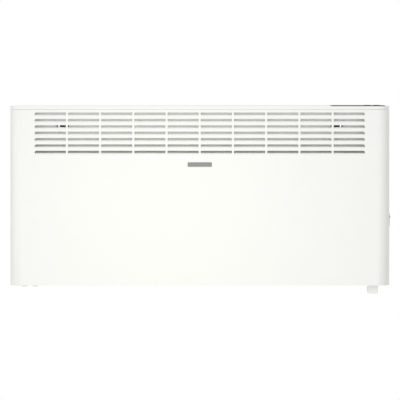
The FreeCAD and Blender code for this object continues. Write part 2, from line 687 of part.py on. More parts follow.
# ---------------------------------------------------------------- wall bracket
def make_rail(side):
    """Upright channel: web on the wall, two flanges with the lower support hooks."""
    label = "bracket_rail_left" if side < 0 else "bracket_rail_right"
    body = new_body(label)
    middle, half = cell("rail_offset") * side, cell("rail_width") / 2
    gauge, reach = cell("rail_sheet"), -cell("rail_reach")
    plan = new_sketch(body, "XY_Plane", cell("rail_bottom"))
    left, right = middle - half, middle + half
    outline(plan, [(left, 0), (left, reach), (left + gauge, reach), (left + gauge, -gauge),
                   (right - gauge, -gauge), (right - gauge, reach), (right, reach), (right, 0)])
    pad(body, plan, cell("rail_top") - cell("rail_bottom"))
    hook_end = -cell("hook_reach")
    rest, low = cell("hook_rest"), cell("hook_rest") - cell("hook_drop")
    for start in (left, right - gauge):
        hook = new_sketch(body, "YZ_Plane", start)
        tip = cell("hook_tip")
        outline(hook, [(-gauge, low), (-gauge, rest), (hook_end + tip, rest),
                       (hook_end + tip, rest + cell("hook_finger")),
                       (hook_end, rest + cell("hook_finger")), (hook_end, low + tip),
                       (hook_end + tip, low)])
        pad(body, hook, gauge)
    holes = new_sketch(body, "XZ_Plane", gauge * 2)
    for rise in (-1, 1):
        circle(holes, middle, cell("screw_rise") * rise, cell("screw_hole"))
    pocket(body, holes, gauge * 3)
    return node(body)


def make_bar(label, side):
    """Cross bar between the rails: a shallow channel with a tab at each end."""
    half = cell("rail_offset") - cell("rail_width") / 2
    rise, tall = cell("bar_rise") * side, cell("bar_height") / 2
    gauge, reach = cell("rail_sheet"), -cell("bar_reach")
    outer = block(label + "_outer", (-half, half), (reach, 0), (rise - tall, rise + tall))
    inner = block(label + "_inner", (gauge - half, half - gauge), (reach - 1, -gauge),
                  (rise - tall + gauge, rise + tall - gauge))
    return node(cut(label, outer, [inner]))


def make_rivets():
    """Two rivets through each end tab of the bars and the rail flange it lies against."""
    pieces = []
    inner = cell("rail_offset") - cell("rail_width") / 2
    gauge = cell("rail_sheet")
    for bar in (-1, 1):
        for end in (-1, 1):
            for row in (-1, 1):
                label = "rivet_%d" % len(pieces)
                rise = cell("bar_rise") * bar + cell("bar_height") / 4 * row
                start = inner * end + (gauge if end > 0 else 0)
                head = rod(label + "_head", "x",
                           (start if end > 0 else start - gauge - cell("rivet_head_thick"),
                            -cell("bar_reach") / 2, rise),
                           cell("rivet_head"), cell("rivet_head_thick"))
                pieces.append(head)
    web = -cell("rail_sheet") - cell("catch_thick") - cell("rivet_head_thick")
    for side in (-1, 1):
        for rise in (6, 18):
            place = (cell("rail_offset") * side, web, cell("catch_foot") + rise)
            pieces.append(rod("catch_rivet_%d" % len(pieces), "y", place, cell("rivet_head"),
                              cell("rivet_head_thick")))
    return node(group("bracket_rivets", pieces))


def make_catch(side):
    """Spring-steel tongue riveted in the rail's top; its lip snaps through the casing's back."""
    label = "catch_left" if side < 0 else "catch_right"
    body = new_body(label)
    web, thick = -cell("rail_sheet"), cell("catch_thick")
    level, nose, drop = cell("catch_level"), -cell("catch_nose"), cell("catch_drop")
    lip_back = BACK - SHEET - 0.9
    lip_front = lip_back - 1.6
    side_view = new_sketch(body, "YZ_Plane", cell("rail_offset") * side - cell("catch_width") / 2)
    outline(side_view, [
        (web, cell("catch_foot")), (web, level - 3), (web - 3, level), (lip_back, level),
        (lip_back, cell("catch_lip")), (lip_front, cell("catch_lip")),
        (nose, level + 1), (nose, level - drop), (nose + thick, level - drop),
        (nose + thick, level - thick + 1), (lip_front - thick, level + cell("catch_slope") / 4),
        (lip_back, level - thick), (web - 3 - thick / 2, level - thick),
        (web - thick, level - 3 - thick / 2), (web - thick, cell("catch_foot")),
    ])
    pad(body, side_view, cell("catch_width"))
    inner = (cell("rail_offset") - cell("catch_width") / 2) * side
    outer = (cell("rail_offset") + cell("catch_width") / 2) * side
    taper = new_sketch(body, "XZ_Plane", 1 - nose)
    outline(taper, [(inner, level - drop - 1), (outer + side, level - drop - 1),
                    (outer + side, level + 0.4)])
    pocket(body, taper, thick + 1)
    return node(body)


# ---------------------------------------------------------------- air path and heating element
def make_air_guide():
    """White inner sheet: a flue in front of the back, a ramp, and a baffle behind the louvres.

    Two windows in the baffle let a screwdriver reach the bracket's catches through the louvres.
    """
    body = new_body("air_guide")
    gauge, low, level = cell("guide_sheet"), cell("guide_low"), cell("guide_level")
    turn, throat, ramp_top = cell("guide_turn"), cell("guide_throat"), cell("guide_ramp_top")
    end = cell("guide_end")
    edge = end - cell("guide_flange")
    half = CHAMBER - 0.5
    side_view = new_sketch(body, "YZ_Plane", -half)
    outline(side_view, [
        (GUIDE, low), (GUIDE, turn), (throat, ramp_top), (end, level), (edge, level),
        (edge, level - gauge), (end - gauge, level - gauge), (throat - gauge, ramp_top - gauge / 2),
        (GUIDE - gauge, turn - gauge / 2), (GUIDE - gauge, low),
    ])
    pad(body, side_view, half * 2)
    start = end - gauge * 2
    access = new_sketch(body, "XZ_Plane", -start)
    for side in (-1, 1):
        middle = cell("rail_offset") * side
        reach = cell("catch_window_half")
        rectangle(access, (middle - reach, middle + reach),
                  (cell("catch_window_low") - 2, cell("catch_window_high") + 2))
    pocket(body, access, throat - start)
    return node(body)


def make_divider(side):
    """Upright plate that closes one end of the flue and carries the heating element."""
    label = "divider_left" if side < 0 else "divider_right"
    low, high = cell("divider_low"), cell("divider_high")
    front, back = cell("divider_front"), BACK - SHEET
    near = CHAMBER * side - (0 if side > 0 else SHEET)
    plate = block(label + "_plate", (near, near + SHEET), (front, back), (low, high))
    foot_from = near if side > 0 else near + SHEET - cell("divider_foot")
    foot = block(label + "_foot", (foot_from, foot_from + cell("divider_foot")),
                 (back - SHEET, back), (low, high))
    pieces = [plate, foot]
    reach = cell("divider_tab") / 2
    for row in ("floor_screw_front", "floor_screw_rear"):
        span = (cell(row) - reach, cell(row) + reach)
        pieces.append(block(label + "_tab", (near, near + SHEET), span, (GRILLE_HIGH, low + 2)))
        pieces.append(block(label + "_sole", (foot_from, foot_from + cell("divider_foot")), span,
                            (GRILLE_HIGH, GRILLE_HIGH + SHEET)))
    both = join(label + "_folded", pieces)
    seat = rod(label + "_seat", "x", (near - 1, cell("element_back"), cell("element_rise")),
               cell("bush_radius") + cell("bush_clear") / 2, SHEET + 2)
    passage = rod(label + "_passage", "x",
                  (near - 1, cell("lead_hole_back"), cell("lead_hole_rise")),
                  cell("lead_hole"), SHEET + 2)
    tools = [seat, passage]
    middle = cell("divider_screw") * side
    for step in (-1, 0, 1):
        tools.append(rod(label + "_back_hole", "y",
                         (middle, back - SHEET * 2, cell("back_screw_rise") * step),
                         SCREW_HOLE, SHEET * 3))
    for row in ("floor_screw_front", "floor_screw_rear"):
        tools.append(rod(label + "_sole_hole", "z", (middle, cell(row), GRILLE_HIGH - 1),
                         SCREW_HOLE, SHEET + 2))
    if side > 0:
        tools.append(rod("cutout_seat", "x", (near - 1, cell("element_back"), cell("cutout_rise")),
                         cell("cutout_radius") - 2, SHEET + 2))
    return node(cut(label, both, tools))


def make_heating_element():
    """Aluminium X section pressed round a sheathed rod, with ceramic end bushes."""
    half = cell("element_half")
    y, z = cell("element_back"), cell("element_rise")
    arms = [rod("element_tube", "x", (-half, y, z), cell("element_tube"), half * 2)]
    reach, thick = cell("element_arm"), cell("element_arm_thick")
    for index, tilt in enumerate((SIZES["element_tilt"], -SIZES["element_tilt"])):
        arm = doc.addObject("Part::Box", "element_arm_%d" % index)
        turn = Rotation(Vector(1, 0, 0), tilt)
        offset = turn.multVec(Vector(0, -reach.number, -thick.number / 2))
        arm.Placement = Placement(Vector(0, 0, 0), turn)
        bind(arm, "Placement.Base.x", -half)
        bind(arm, "Placement.Base.y", y + offset.y)
        bind(arm, "Placement.Base.z", z + offset.z)
        bind(arm, "Length", half * 2)
        bind(arm, "Width", reach * 2)
        bind(arm, "Height", thick)
        arms.append(arm)
        for share in (-0.95, -0.72, -0.5, 0.5, 0.72, 0.95):
            rib = doc.addObject("Part::Box", "element_rib")
            corner = turn.multVec(Vector(0, reach.number * share - thick.number / 2,
                                         -SIZES["element_rib"] / 2))
            rib.Placement = Placement(Vector(0, 0, 0), turn)
            bind(rib, "Placement.Base.x", -half)
            bind(rib, "Placement.Base.y", y + corner.y)
            bind(rib, "Placement.Base.z", z + corner.z)
            bind(rib, "Length", half * 2)
            bind(rib, "Width", thick * 0.7)
            bind(rib, "Height", cell("element_rib"))
            arms.append(rib)
    solid = join("element_solid", arms)
    bore = rod("element_bore", "x", (-half - 1, y, z), cell("rod_radius") + cell("rod_clear"),
               half * 2 + 2)
    node(cut("heater_profile", solid, [bore]))
    sheath = rod("sheath", "x", (-cell("rod_half"), y, z), cell("rod_radius"), cell("rod_half") * 2)
    pins = rod("terminal_pins", "x", (-cell("pin_end"), y, z), cell("pin_radius"),
               cell("pin_end") * 2)
    node(join("heater_rod", [sheath, pins]))
    for label, side in (("element_bush_left", -1), ("element_bush_right", 1)):
        length, brim = cell("bush_length"), cell("bush_brim")
        barrel_from = CHAMBER * side + cell("bush_proud") * side - (length if side > 0 else 0)
        flange_from = (CHAMBER - 1) * side - (brim if side > 0 else 0)
        barrel = rod(label + "_barrel", "x", (barrel_from, y, z), cell("bush_radius"), length)
        flange = rod(label + "_flange", "x", (flange_from, y, z), cell("bush_flange"), brim)
        hole = rod(label + "_hole", "x", (barrel_from - 1, y, z),
                   cell("rod_radius") + cell("rod_clear"), length + 2)
        node(cut(label, join(label + "_solid", [barrel, flange]), [hole]))


def make_cutout():
    """Disc thermostat that opens if the flue overheats, in the right-hand divider."""
    y, z = cell("element_back"), cell("cutout_rise")
    cap = rod("cutout_cap", "x", (CHAMBER - 5, y, z), cell("cutout_radius"), 4.8)
    neck = rod("cutout_neck", "x", (CHAMBER - 1, y, z), cell("cutout_radius") - 2.2, SHEET + 2)
    block_end = block("cutout_block", (BAY + 0.2, BAY + cell("cutout_length")),
                      (y - 8, y + 8), (z - 6, z + 6))
    blades = [block("cutout_blade", (BAY + 5, BAY + cell("cutout_length") + 8),
                    (y + shift, y + shift + 0.8), (z - 3, z + 3)) for shift in (-5, 4.2)]
    return node(join("thermal_cutout", [cap, neck, block_end] + blades))


# ---------------------------------------------------------------- electronics bay
def make_power_board():
    """Board on four spacers beside the divider, with its relay, capacitor and heat sink."""
    start = BAY + cell("board_stand")
    face = start + cell("board_thick")
    low, high = cell("board_low"), cell("board_high")
    front, rear = cell("board_front"), cell("board_rear")
    node(block("power_board", (start, face), (front, rear), (low, high)))
    spacers, screws = [], []
    for y in (front + 6, rear - 6):
        for z in (low + 6, high - 6):
            label = "board_post_%d" % len(spacers)
            spacers.append(rod(label, "x", (BAY, y, z), 3, cell("board_stand")))
            screws.append(rod(label + "_screw", "x", (face, y, z), cell("screw_head"),
                              cell("screw_head_thick")))
    node(group("board_spacers", spacers))
    node(group("board_screws", screws))
    node(block("relay", (face, face + cell("relay_tall")),
               (cell("relay_front"), cell("relay_rear")), (cell("relay_low"), cell("relay_high"))))
    can = block("capacitor_plain", (face, face + cell("capacitor_tall")),
                (cell("capacitor_front"), cell("capacitor_rear")),
                (cell("capacitor_low"), cell("capacitor_high")))
    node(round_edges("filter_capacitor", can, 1.5,
                     lambda e: e.BoundBox.XMin > (face + 1).number))
    sink_front, sink_rear = cell("sink_front"), cell("sink_rear")
    pieces = [block("sink_base_plate", (face, face + cell("sink_base")), (sink_front, sink_rear),
                    (cell("sink_low"), cell("sink_high")))]
    step = (sink_rear - sink_front - cell("fin_thick")) / (cell("sink_fins") - 1)
    for fin in range(SIZES["sink_fins"]):
        at = sink_front + step * fin
        pieces.append(block("sink_fin_%d" % fin, (face, face + cell("sink_tall")),
                            (at, at + cell("fin_thick")), (cell("sink_low"), cell("sink_high"))))
    node(join("heat_sink", pieces))
    rear = cell("ribbon_rear")
    node(block("board_connector", (face, face + cell("connector_tall")),
               (rear - cell("ribbon_width") - 1, rear + 1),
               (cell("connector_low"), cell("connector_high"))))
    across, shelf, thick = cell("ribbon_across"), cell("ribbon_shelf"), cell("ribbon_thick")
    drop, bend = face + cell("connector_tall") / 2, Size(3.0, "3")
    high, low = cell("unit_bottom") + cell("unit_wall") + 0.2, cell("connector_high")
    ribbon = new_body("ribbon_cable")
    profile = new_sketch(ribbon, "XZ_Plane", -rear)
    outline(profile, [
        (across, high), (across, shelf, bend), (drop, shelf, bend), (drop, low),
        (drop + thick, low), (drop + thick, shelf - thick, bend - thick),
        (across + thick, shelf - thick, bend + thick), (across + thick, high),
    ])
    pad(ribbon, profile, cell("ribbon_width"))
    node(ribbon)


def make_terminal_block():
    """Three-way mains terminal on the casing's back, above the cable entry."""
    left, right = cell("terminal_left"), cell("terminal_right")
    back = BACK - SHEET
    low, high = cell("terminal_low"), cell("terminal_high")
    body = block("terminal_body", (left, right), (back - cell("terminal_deep"), back), (low, high))
    tools = []
    pitch = (right - left) / 3
    for way in range(3):
        across = left + pitch * (way + 0.5)
        tools.append(rod("port_%d" % way, "z", (across, back - cell("terminal_deep") / 2, low - 1),
                         cell("terminal_port"), high - low + 2))
        tools.append(rod("driver_%d" % way, "y",
                         (across, back - cell("terminal_deep") - 1, (low + high) / 2),
                         cell("terminal_port"), 6))
    return node(cut("terminal_block", body, tools))


def make_cable_gland():
    """Cord entry in the back: flanged gland outside, ring nut inside."""
    x, z = cell("gland_across"), cell("gland_rise")
    bore = cell("gland_bore")
    inside = BACK - SHEET - cell("gland_inside")
    length = cell("gland_inside") + SHEET
    barrel = rod("gland_barrel_rod", "y", (x, inside, z), cell("gland_barrel"), length)
    flange = rod("gland_flange_rod", "y", (x, BACK, z), cell("gland_flange"),
                 cell("gland_flange_thick"))
    softened = round_edges("gland_flange_soft", flange, 1.5,
                           lambda e: e.BoundBox.YMin > (BACK + 1).number)
    solid = join("gland_solid", [barrel, softened])
    hole = rod("gland_hole", "y", (x, inside - 1, z), bore, length + cell("gland_flange_thick") + 2)
    node(cut("cable_gland", solid, [hole]))
    ring = doc.addObject("Part::Prism", "gland_nut_hex")
    ring.Polygon = 6
    ring.Placement = Placement(Vector(), TURNS["y"])
    nut_low = BACK - SHEET - cell("gland_nut_thick") - 0.05
    for axis, size in zip("xyz", (x, nut_low, z)):
        bind(ring, "Placement.Base." + axis, size)
    bind(ring, "Circumradius", cell("gland_nut"))
    bind(ring, "Height", cell("gland_nut_thick"))
    thread = rod("gland_nut_thread", "y", (x, nut_low - 1, z),
                 cell("gland_barrel") + cell("gland_clear"), cell("gland_nut_thick") + 2)
    node(cut("gland_nut", ring, [thread]))


def make_switch():
    """Double-pole rocker switch in the right side: body, rocker on pins, four blades."""
    y, z = cell("switch_back"), cell("switch_rise")
    out = HALF + cell("bezel_thick")

    def around(middle, size):
        return middle - size / 2, middle + size / 2

    inner_end = HALF - cell("switch_deep")
    bezel = block("bezel", (HALF, out), around(y, cell("bezel_wide")), around(z, cell("bezel_tall")))
    bezel = round_edges("bezel_soft", bezel, 1.2, lambda e: e.BoundBox.XMin > out.number - 0.01)
    can = block("switch_can", (inner_end, HALF + 0.5), around(y, cell("switch_wide")),
                around(z, cell("switch_tall")))
    well = block("switch_well", (out - cell("well_deep"), out + 1), around(y, cell("well_wide")),
                 around(z, cell("well_tall")))
    pivot = out - cell("rocker_pivot")
    pin_half = (cell("well_wide") / 2 - cell("rocker_gap")) + cell("rocker_pin_length")
    hole_half = pin_half + cell("running_gap")
    eyes = rod("pin_eyes", "y", (pivot, y - hole_half, z),
               cell("rocker_pin") + cell("running_gap"), hole_half * 2)
    node(cut("switch_body", join("switch_solid", [bezel, can]), [well, eyes]))
    half_wide = cell("well_wide") / 2 - cell("rocker_gap")
    half_tall = cell("well_tall").number / 2 - 1.5
    rise, crown = cell("rocker_pivot").number - 0.6, SIZES["rocker_crown"]
    face = [(rise + crown, half_tall), (rise, 0.0), (rise + crown, -half_tall)]
    under = [(-0.6, -half_tall + 1.2), (-SIZES["rocker_hub"], -3.0),
             (-SIZES["rocker_hub"], 3.0), (-0.6, half_tall - 1.2)]
    tilt = math.radians(SIZES["rocker_tilt"])
    corners = []
    for dx, dz in face + under:
        turned_x = dx * math.cos(tilt) + dz * math.sin(tilt)
        turned_z = dz * math.cos(tilt) - dx * math.sin(tilt)
        corners.append((pivot + turned_x, z + turned_z))
    rocker = new_body("rocker_form")
    profile = new_sketch(rocker, "XZ_Plane", -(y + half_wide))
    outline(profile, corners)
    pad(rocker, profile, half_wide * 2)
    doc.recompute()
    eased = round_edges("rocker_eased", rocker, 0.6,
                        lambda e: e.BoundBox.XMin > (pivot + 2.5).number)
    pins = rod("rocker_pins", "y", (pivot, y - pin_half, z), cell("rocker_pin"), pin_half * 2)
    node(join("switch_rocker", [eased, pins]))
    blades = []
    for dy in (-1, 1):
        for dz in (-1, 1):
            by, bz = y + cell("blade_inset") * dy * 0.8, z + cell("blade_inset") * dz
            blades.append(block("blade_%d" % len(blades),
                                (inner_end - cell("blade_long"), inner_end),
                                around(by, cell("blade_thick")), around(bz, cell("blade_wide"))))
    node(group("switch_blades", blades))


# ---------------------------------------------------------------- small outside pieces
def make_sensor():
    """Slotted cap below the casing's right end, with the room sensor's bead inside."""
    left, front = cell("sensor_left"), cell("sensor_front")
    right, back = left + cell("sensor_width"), front + cell("sensor_deep")
    low, high = BOTTOM - cell("sensor_drop"), BOTTOM + cell("grille_recess") + SHEET
    plain = block("sensor_plain", (left, right), (front, back), (low, high + 6))
    soft = round_edges("sensor_soft", plain, cell("sensor_round"),
                       lambda e: upright(e) or e.BoundBox.ZMax < (low + 0.01).number)
    brim = block("sensor_brim", (left - 2, right + 2), (front - 2, back + 2),
                 (high + 0.05, high + cell("sensor_flange")))
    wall = cell("sensor_wall")
    hollow = block("sensor_hollow", (left + wall, right - wall), (front + wall, back - wall),
                   (low + wall, high + 8))
    tools = [hollow]
    for row in range(3):
        at = low + 4.5 + cell("sensor_slit_step") * row
        slit = (at, at + cell("sensor_slit"))
        tools.append(block("slit_side_%d" % row, (left - 1, right + 1),
                           (front + 5, back - 5), slit))
    node(cut("sensor_cap", join("sensor_solid", [soft, brim]), tools))
    x, y = (left + right) / 2, (front + back) / 2
    bead = doc.addObject("Part::Sphere", "sensor_drop_bead")
    for axis, size in zip("xyz", (x, y, low + 8)):
        bind(bead, "Placement.Base." + axis, size)
    bind(bead, "Radius", cell("bead_radius"))
    stalk = rod("sensor_stalk", "z", (x, y, low + 8), 1.3, high - low + 2)
    node(join("sensor_bead", [bead, stalk]))


def make_plugs():
    """Two blanking plugs in the spare cable entries under the left end."""
    pieces = []
    high = BOTTOM + cell("grille_recess")
    for across in ("plug_outer", "plug_inner"):
        x, y = cell(across), cell("plug_back")
        head = rod(across + "_head", "z", (x, y, BOTTOM - cell("plug_drop")), cell("plug_radius"),
                   high - BOTTOM + cell("plug_drop"))
        dome = round_edges(across + "_dome", head, cell("plug_drop") * 0.6,
                           lambda e: e.BoundBox.ZMax < (BOTTOM - cell("plug_drop")).number + 0.01)
        barrel = rod(across + "_barrel", "z", (x, y, high - 1), cell("plug_barrel"),
                     cell("plug_rise"))
        pieces.append(join(across + "_plug", [dome, barrel]))
    node(group("blanking_plugs", pieces))


def make_labels():
    """Plain badge on the front and blank rating plate on the back."""
    half = cell("badge_half")
    plain = block("badge_plain", (-half, half), (FRONT - cell("badge_thick"), FRONT),
                  (cell("badge_low"), cell("badge_high")))
    node(round_edges("badge", plain, cell("badge_round"),
                     lambda e: abs(e.tangentAt(e.FirstParameter).y) > 0.99))
    node(block("rating_plate", (cell("plate_left"), cell("plate_right")),
               (BACK, BACK + cell("plate_thick")), (cell("plate_low"), cell("plate_high"))))


def make_bumpers():
    """Rubber pads that keep the casing's ends off the wall."""
    pads = []
    for side in (-1, 1):
        pad_rod = rod("bumper_%d" % (side + 1), "y",
                      (cell("bumper_across") * side, BACK, cell("bumper_rise")),
                      cell("bumper_radius"), cell("bumper_length"))
        pads.append(round_edges("bumper_soft_%d" % (side + 1), pad_rod, 2,
                                lambda e: e.BoundBox.YMin > (BACK + 3).number))
    node(group("wall_bumpers", pads))


def screw_set(name, places, axis, way):
    """Pan-head screws: a head that stands off along way, and a shank the other way."""
    pieces = []
    for index, place in enumerate(places):
        x, y, z = (as_size(v) for v in place)
        head_thick, length = cell("screw_head_thick"), cell("screw_length")
        shift = {"x": 0, "y": 1, "z": 2}[axis]
        head_at, shank_at = [x, y, z], [x, y, z]
        head_at[shift] = head_at[shift] - (head_thick if way < 0 else 0)
        shank_at[shift] = shank_at[shift] - (length if way > 0 else 0)
        head = rod("%s_head_%d" % (name, index), axis, head_at, cell("screw_head"), head_thick)
        far = (as_size(place[shift]) + head_thick * way).number

        def outer(edge, shift=shift, far=far):
            box = edge.BoundBox
            return abs((box.XMin, box.YMin, box.ZMin)[shift] - far) < 0.01 and edge.isClosed()

        domed = round_edges("%s_dome_%d" % (name, index), head, head_thick * 0.7, outer)
        shank = rod("%s_shank_%d" % (name, index), axis, shank_at, cell("screw_shank"), length)
        pieces.append(join("%s_%d" % (name, index), [domed, shank]))
    return node(group(name, pieces))


def lead(name, points):
    """An insulated lead: straight runs joined by tangent arcs."""
    points = [Vector(*(as_size(v).number for v in p)) for p in points]
    bend = SIZES["lead_bend"]
    edges, at = [], points[0]
    for before, corner, after in zip(points, points[1:], points[2:]):
        into, out = (corner - before).normalize(), (after - corner).normalize()
        half_turn = into.getAngle(out) / 2
        shortest = min((corner - before).Length, (after - corner).Length)
        trim = min(bend * math.tan(half_turn), 0.45 * shortest)
        first, last = corner - into * trim, corner + out * trim
        arc_radius = trim / math.tan(half_turn)
        inward = (out - into).normalize()
        centre = corner + inward * (arc_radius / math.cos(half_turn))
        middle = centre - inward * arc_radius
        edges.append(Part.LineSegment(at, first).toShape())
        edges.append(Part.Arc(first, middle, last).toShape())
        at = last
    edges.append(Part.LineSegment(at, points[-1]).toShape())
    path = Part.Wire(edges)
    radius = SIZES["lead_radius"]
    ring = Part.Wire([Part.Circle(points[0], points[1] - points[0], radius).toShape()])
    feature = doc.addObject("Part::Feature", name)
    feature.Shape = path.makePipeShell([ring], True, True)
    ideal = math.pi * radius ** 2 * path.Length
    if abs(feature.Shape.Volume / ideal - 1) > 0.01:
        raise RuntimeError("%s isn't a clean tube" % name)
    return feature


def make_earth_stud():
    """Threaded stud on the casing's back with its nut."""
    x, z = cell("stud_across"), cell("stud_rise")
    back = BACK - SHEET
    stud = rod("stud_shank", "y", (x, back - cell("stud_length"), z), cell("stud_radius"),
               cell("stud_length"))
    hexagon = doc.addObject("Part::Prism", "stud_nut_hex")
    hexagon.Polygon = 6
    hexagon.Placement = Placement(Vector(), TURNS["y"])
    for axis, size in zip("xyz", (x, back - cell("stud_nut_thick") - 2, z)):
        bind(hexagon, "Placement.Base." + axis, size)
    bind(hexagon, "Circumradius", cell("stud_nut"))
    bind(hexagon, "Height", cell("stud_nut_thick"))
    return node(join("earth_stud", [stud, hexagon]))


def make_leads():
    """Insulated leads between the terminals, switch, board, cut-out, sensor and element."""
    face = BAY + cell("board_stand") + cell("board_thick")
    clear, land = face + 9, cell("board_low") + 14
    switch_x = HALF - cell("switch_deep") - cell("blade_long")
    reach_y, reach_z = cell("blade_inset") * 0.8, cell("blade_inset")
    live_y, neutral_y = cell("switch_back") + reach_y, cell("switch_back") - reach_y
    low_z, high_z = cell("switch_rise") - reach_z, cell("switch_rise") + reach_z
    pitch = (cell("terminal_right") - cell("terminal_left")) / 3
    ways = [cell("terminal_left") + pitch * (way + 0.5) for way in range(3)]
    port_y = BACK - SHEET - cell("terminal_deep") / 2
    port_z = cell("terminal_high") - 2
    node(group("live_leads", [
        lead("live_supply", [(ways[0], port_y, port_z), (ways[0], port_y, port_z + 34),
                             (switch_x - 12, live_y, low_z), (switch_x, live_y, low_z)]),
        lead("live_switched", [(switch_x, live_y, high_z), (switch_x - 10, live_y, high_z),
                               (clear, -58, land), (face, -58, land)]),
    ]))
    node(group("neutral_leads", [
        lead("neutral_supply", [(ways[1], port_y, port_z), (ways[1], port_y, port_z + 22),
                                (switch_x - 11, neutral_y, low_z),
                                (switch_x, neutral_y, low_z)]),
        lead("neutral_switched", [(switch_x, neutral_y, high_z),
                                  (switch_x - 10, neutral_y, high_z),
                                  (clear, -66, land), (face, -66, land)]),
    ]))
    node(lead("earth_lead", [(ways[2], port_y, port_z), (ways[2], port_y, port_z + 14),
                             (cell("stud_across"), port_y + 2,
                              cell("stud_rise") - cell("stud_nut"))]))
    element_y, pin_top = cell("element_back"), cell("element_rise") + cell("pin_radius")
    pin_x = cell("pin_end") - 5
    blade_x, cutout_z = BAY + cell("cutout_length") + 8, cell("cutout_rise")
    hole_y, hole_z = cell("lead_hole_back"), cell("lead_hole_rise")
    node(group("element_leads", [
        lead("cutout_feed", [(face, -76, land), (clear + 6, -77, land),
                             (blade_x + 11, element_y - 4.6, cutout_z),
                             (blade_x, element_y - 4.6, cutout_z)]),
        lead("element_feed", [(blade_x, element_y + 4.6, cutout_z),
                              (blade_x + 11, element_y + 4.6, cutout_z),
                              (blade_x + 9, element_y + 3, cutout_z - 34),
                              (pin_x, element_y, pin_top + 14), (pin_x, element_y, pin_top)]),
        lead("element_return", [(-pin_x, element_y, pin_top), (-pin_x, element_y, pin_top + 16),
                                (-pin_x, hole_y, hole_z), (BAY + 14, hole_y, hole_z),
                                (clear, -50, land), (face, -50, land)]),
    ]))
    sensor_x = cell("sensor_left") + cell("sensor_width") / 2
    sensor_y = cell("sensor_front") + cell("sensor_deep") / 2
    node(lead("sensor_lead", [(sensor_x, sensor_y, GRILLE_HIGH + 10),
                              (sensor_x, sensor_y, GRILLE_HIGH + 38), (428, -66, -90),
                              (428, -66, 52), (clear, -94, 58), (face, -94, 58)]))


# ---------------------------------------------------------------- build
make_rear_panel()
make_top_channel()
make_front_cover()
make_bottom_grille()
make_top_trim()
make_keys()
make_control_unit()
for end in (-1, 1):
    make_end_channel(end)
    make_rail(end)
    make_catch(end)
    make_divider(end)
make_bar("bracket_bar_upper", 1)
make_bar("bracket_bar_lower", -1)
make_rivets()
make_air_guide()
make_heating_element()
make_cutout()
make_power_board()
make_terminal_block()
make_cable_gland()
make_switch()
make_sensor()
make_plugs()
make_labels()
make_bumpers()
make_earth_stud()
make_leads()
screw_set("back_screws", [(x, BACK, z) for x, z in back_screw_places()], "y", 1)
screw_set("floor_screws", [(x, y, BOTTOM + cell("grille_recess")) for x, y in floor_screw_places()],
          "z", -1)

doc.recompute()


def report_and_export():
    """Checks every object and solid, then writes one STEP file for each sub-part."""
    for obj in doc.Objects:
        if "Invalid" in obj.State or "Error" in obj.State:
            raise RuntimeError("%s is %s" % (obj.Label, obj.State))
    os.makedirs("parts", exist_ok=True)
    for obj in NODES:
        shape = obj.Shape
        if shape.isNull() or not shape.isValid() or not shape.Solids:
            raise RuntimeError("%s has no valid solid" % obj.Label)
        shape.exportStep("parts/%s.step" % obj.Label)
    print("%d sub-parts written" % len(NODES))


report_and_export()
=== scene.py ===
# %% [markdown]
# # A wall-hung panel convector heater
#
# The heater is a flat white casing on a galvanised wall bracket. Cool air enters through the grille
# underneath, passes a ribbed element, and leaves through seventy louvres near the top. Its shapes,
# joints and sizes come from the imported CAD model. This lesson gives every piece its finish, builds
# the small printed and moulded details, and sets up the studio.

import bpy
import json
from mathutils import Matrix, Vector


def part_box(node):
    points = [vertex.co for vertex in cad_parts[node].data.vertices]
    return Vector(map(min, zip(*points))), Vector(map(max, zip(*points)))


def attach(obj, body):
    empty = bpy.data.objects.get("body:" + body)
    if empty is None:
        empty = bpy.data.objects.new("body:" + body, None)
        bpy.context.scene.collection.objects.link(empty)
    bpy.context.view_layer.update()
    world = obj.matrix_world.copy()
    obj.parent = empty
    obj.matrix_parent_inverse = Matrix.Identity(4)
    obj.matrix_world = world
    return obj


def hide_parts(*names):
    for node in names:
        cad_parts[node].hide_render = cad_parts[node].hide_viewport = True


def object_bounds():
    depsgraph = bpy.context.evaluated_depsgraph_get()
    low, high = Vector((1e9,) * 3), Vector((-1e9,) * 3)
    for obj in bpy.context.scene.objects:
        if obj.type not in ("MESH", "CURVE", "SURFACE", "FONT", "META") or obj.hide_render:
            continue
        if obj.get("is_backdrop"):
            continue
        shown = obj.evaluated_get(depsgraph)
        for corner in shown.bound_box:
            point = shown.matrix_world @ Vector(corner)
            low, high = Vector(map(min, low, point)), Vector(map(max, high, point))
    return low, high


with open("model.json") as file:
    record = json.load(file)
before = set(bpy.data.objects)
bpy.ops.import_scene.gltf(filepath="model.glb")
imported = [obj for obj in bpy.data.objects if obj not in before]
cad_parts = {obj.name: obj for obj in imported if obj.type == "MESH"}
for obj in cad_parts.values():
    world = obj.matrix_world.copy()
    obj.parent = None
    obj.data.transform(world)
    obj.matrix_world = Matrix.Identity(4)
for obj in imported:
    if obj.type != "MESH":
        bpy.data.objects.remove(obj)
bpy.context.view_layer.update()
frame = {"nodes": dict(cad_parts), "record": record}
nodes = frame["nodes"]
slots = {row["node"]: row["material_slot"] for row in frame["record"]["subparts"]}

# %% Tools
import json
import math

import bpy
from mathutils import Vector
from mathutils.bvhtree import BVHTree

MM = 0.001
scene = bpy.context.scene
front_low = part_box("front_cover")[0]
print("the front cover's face is at y", round(front_low.y, 4), "m")

# %% [markdown]
# ## Camera
#
# The heater is seen squarely from the front, at its own height. A long lens from seven metres keeps
# the perspective flat, so the rear of the casing shows as an even strip round the front.

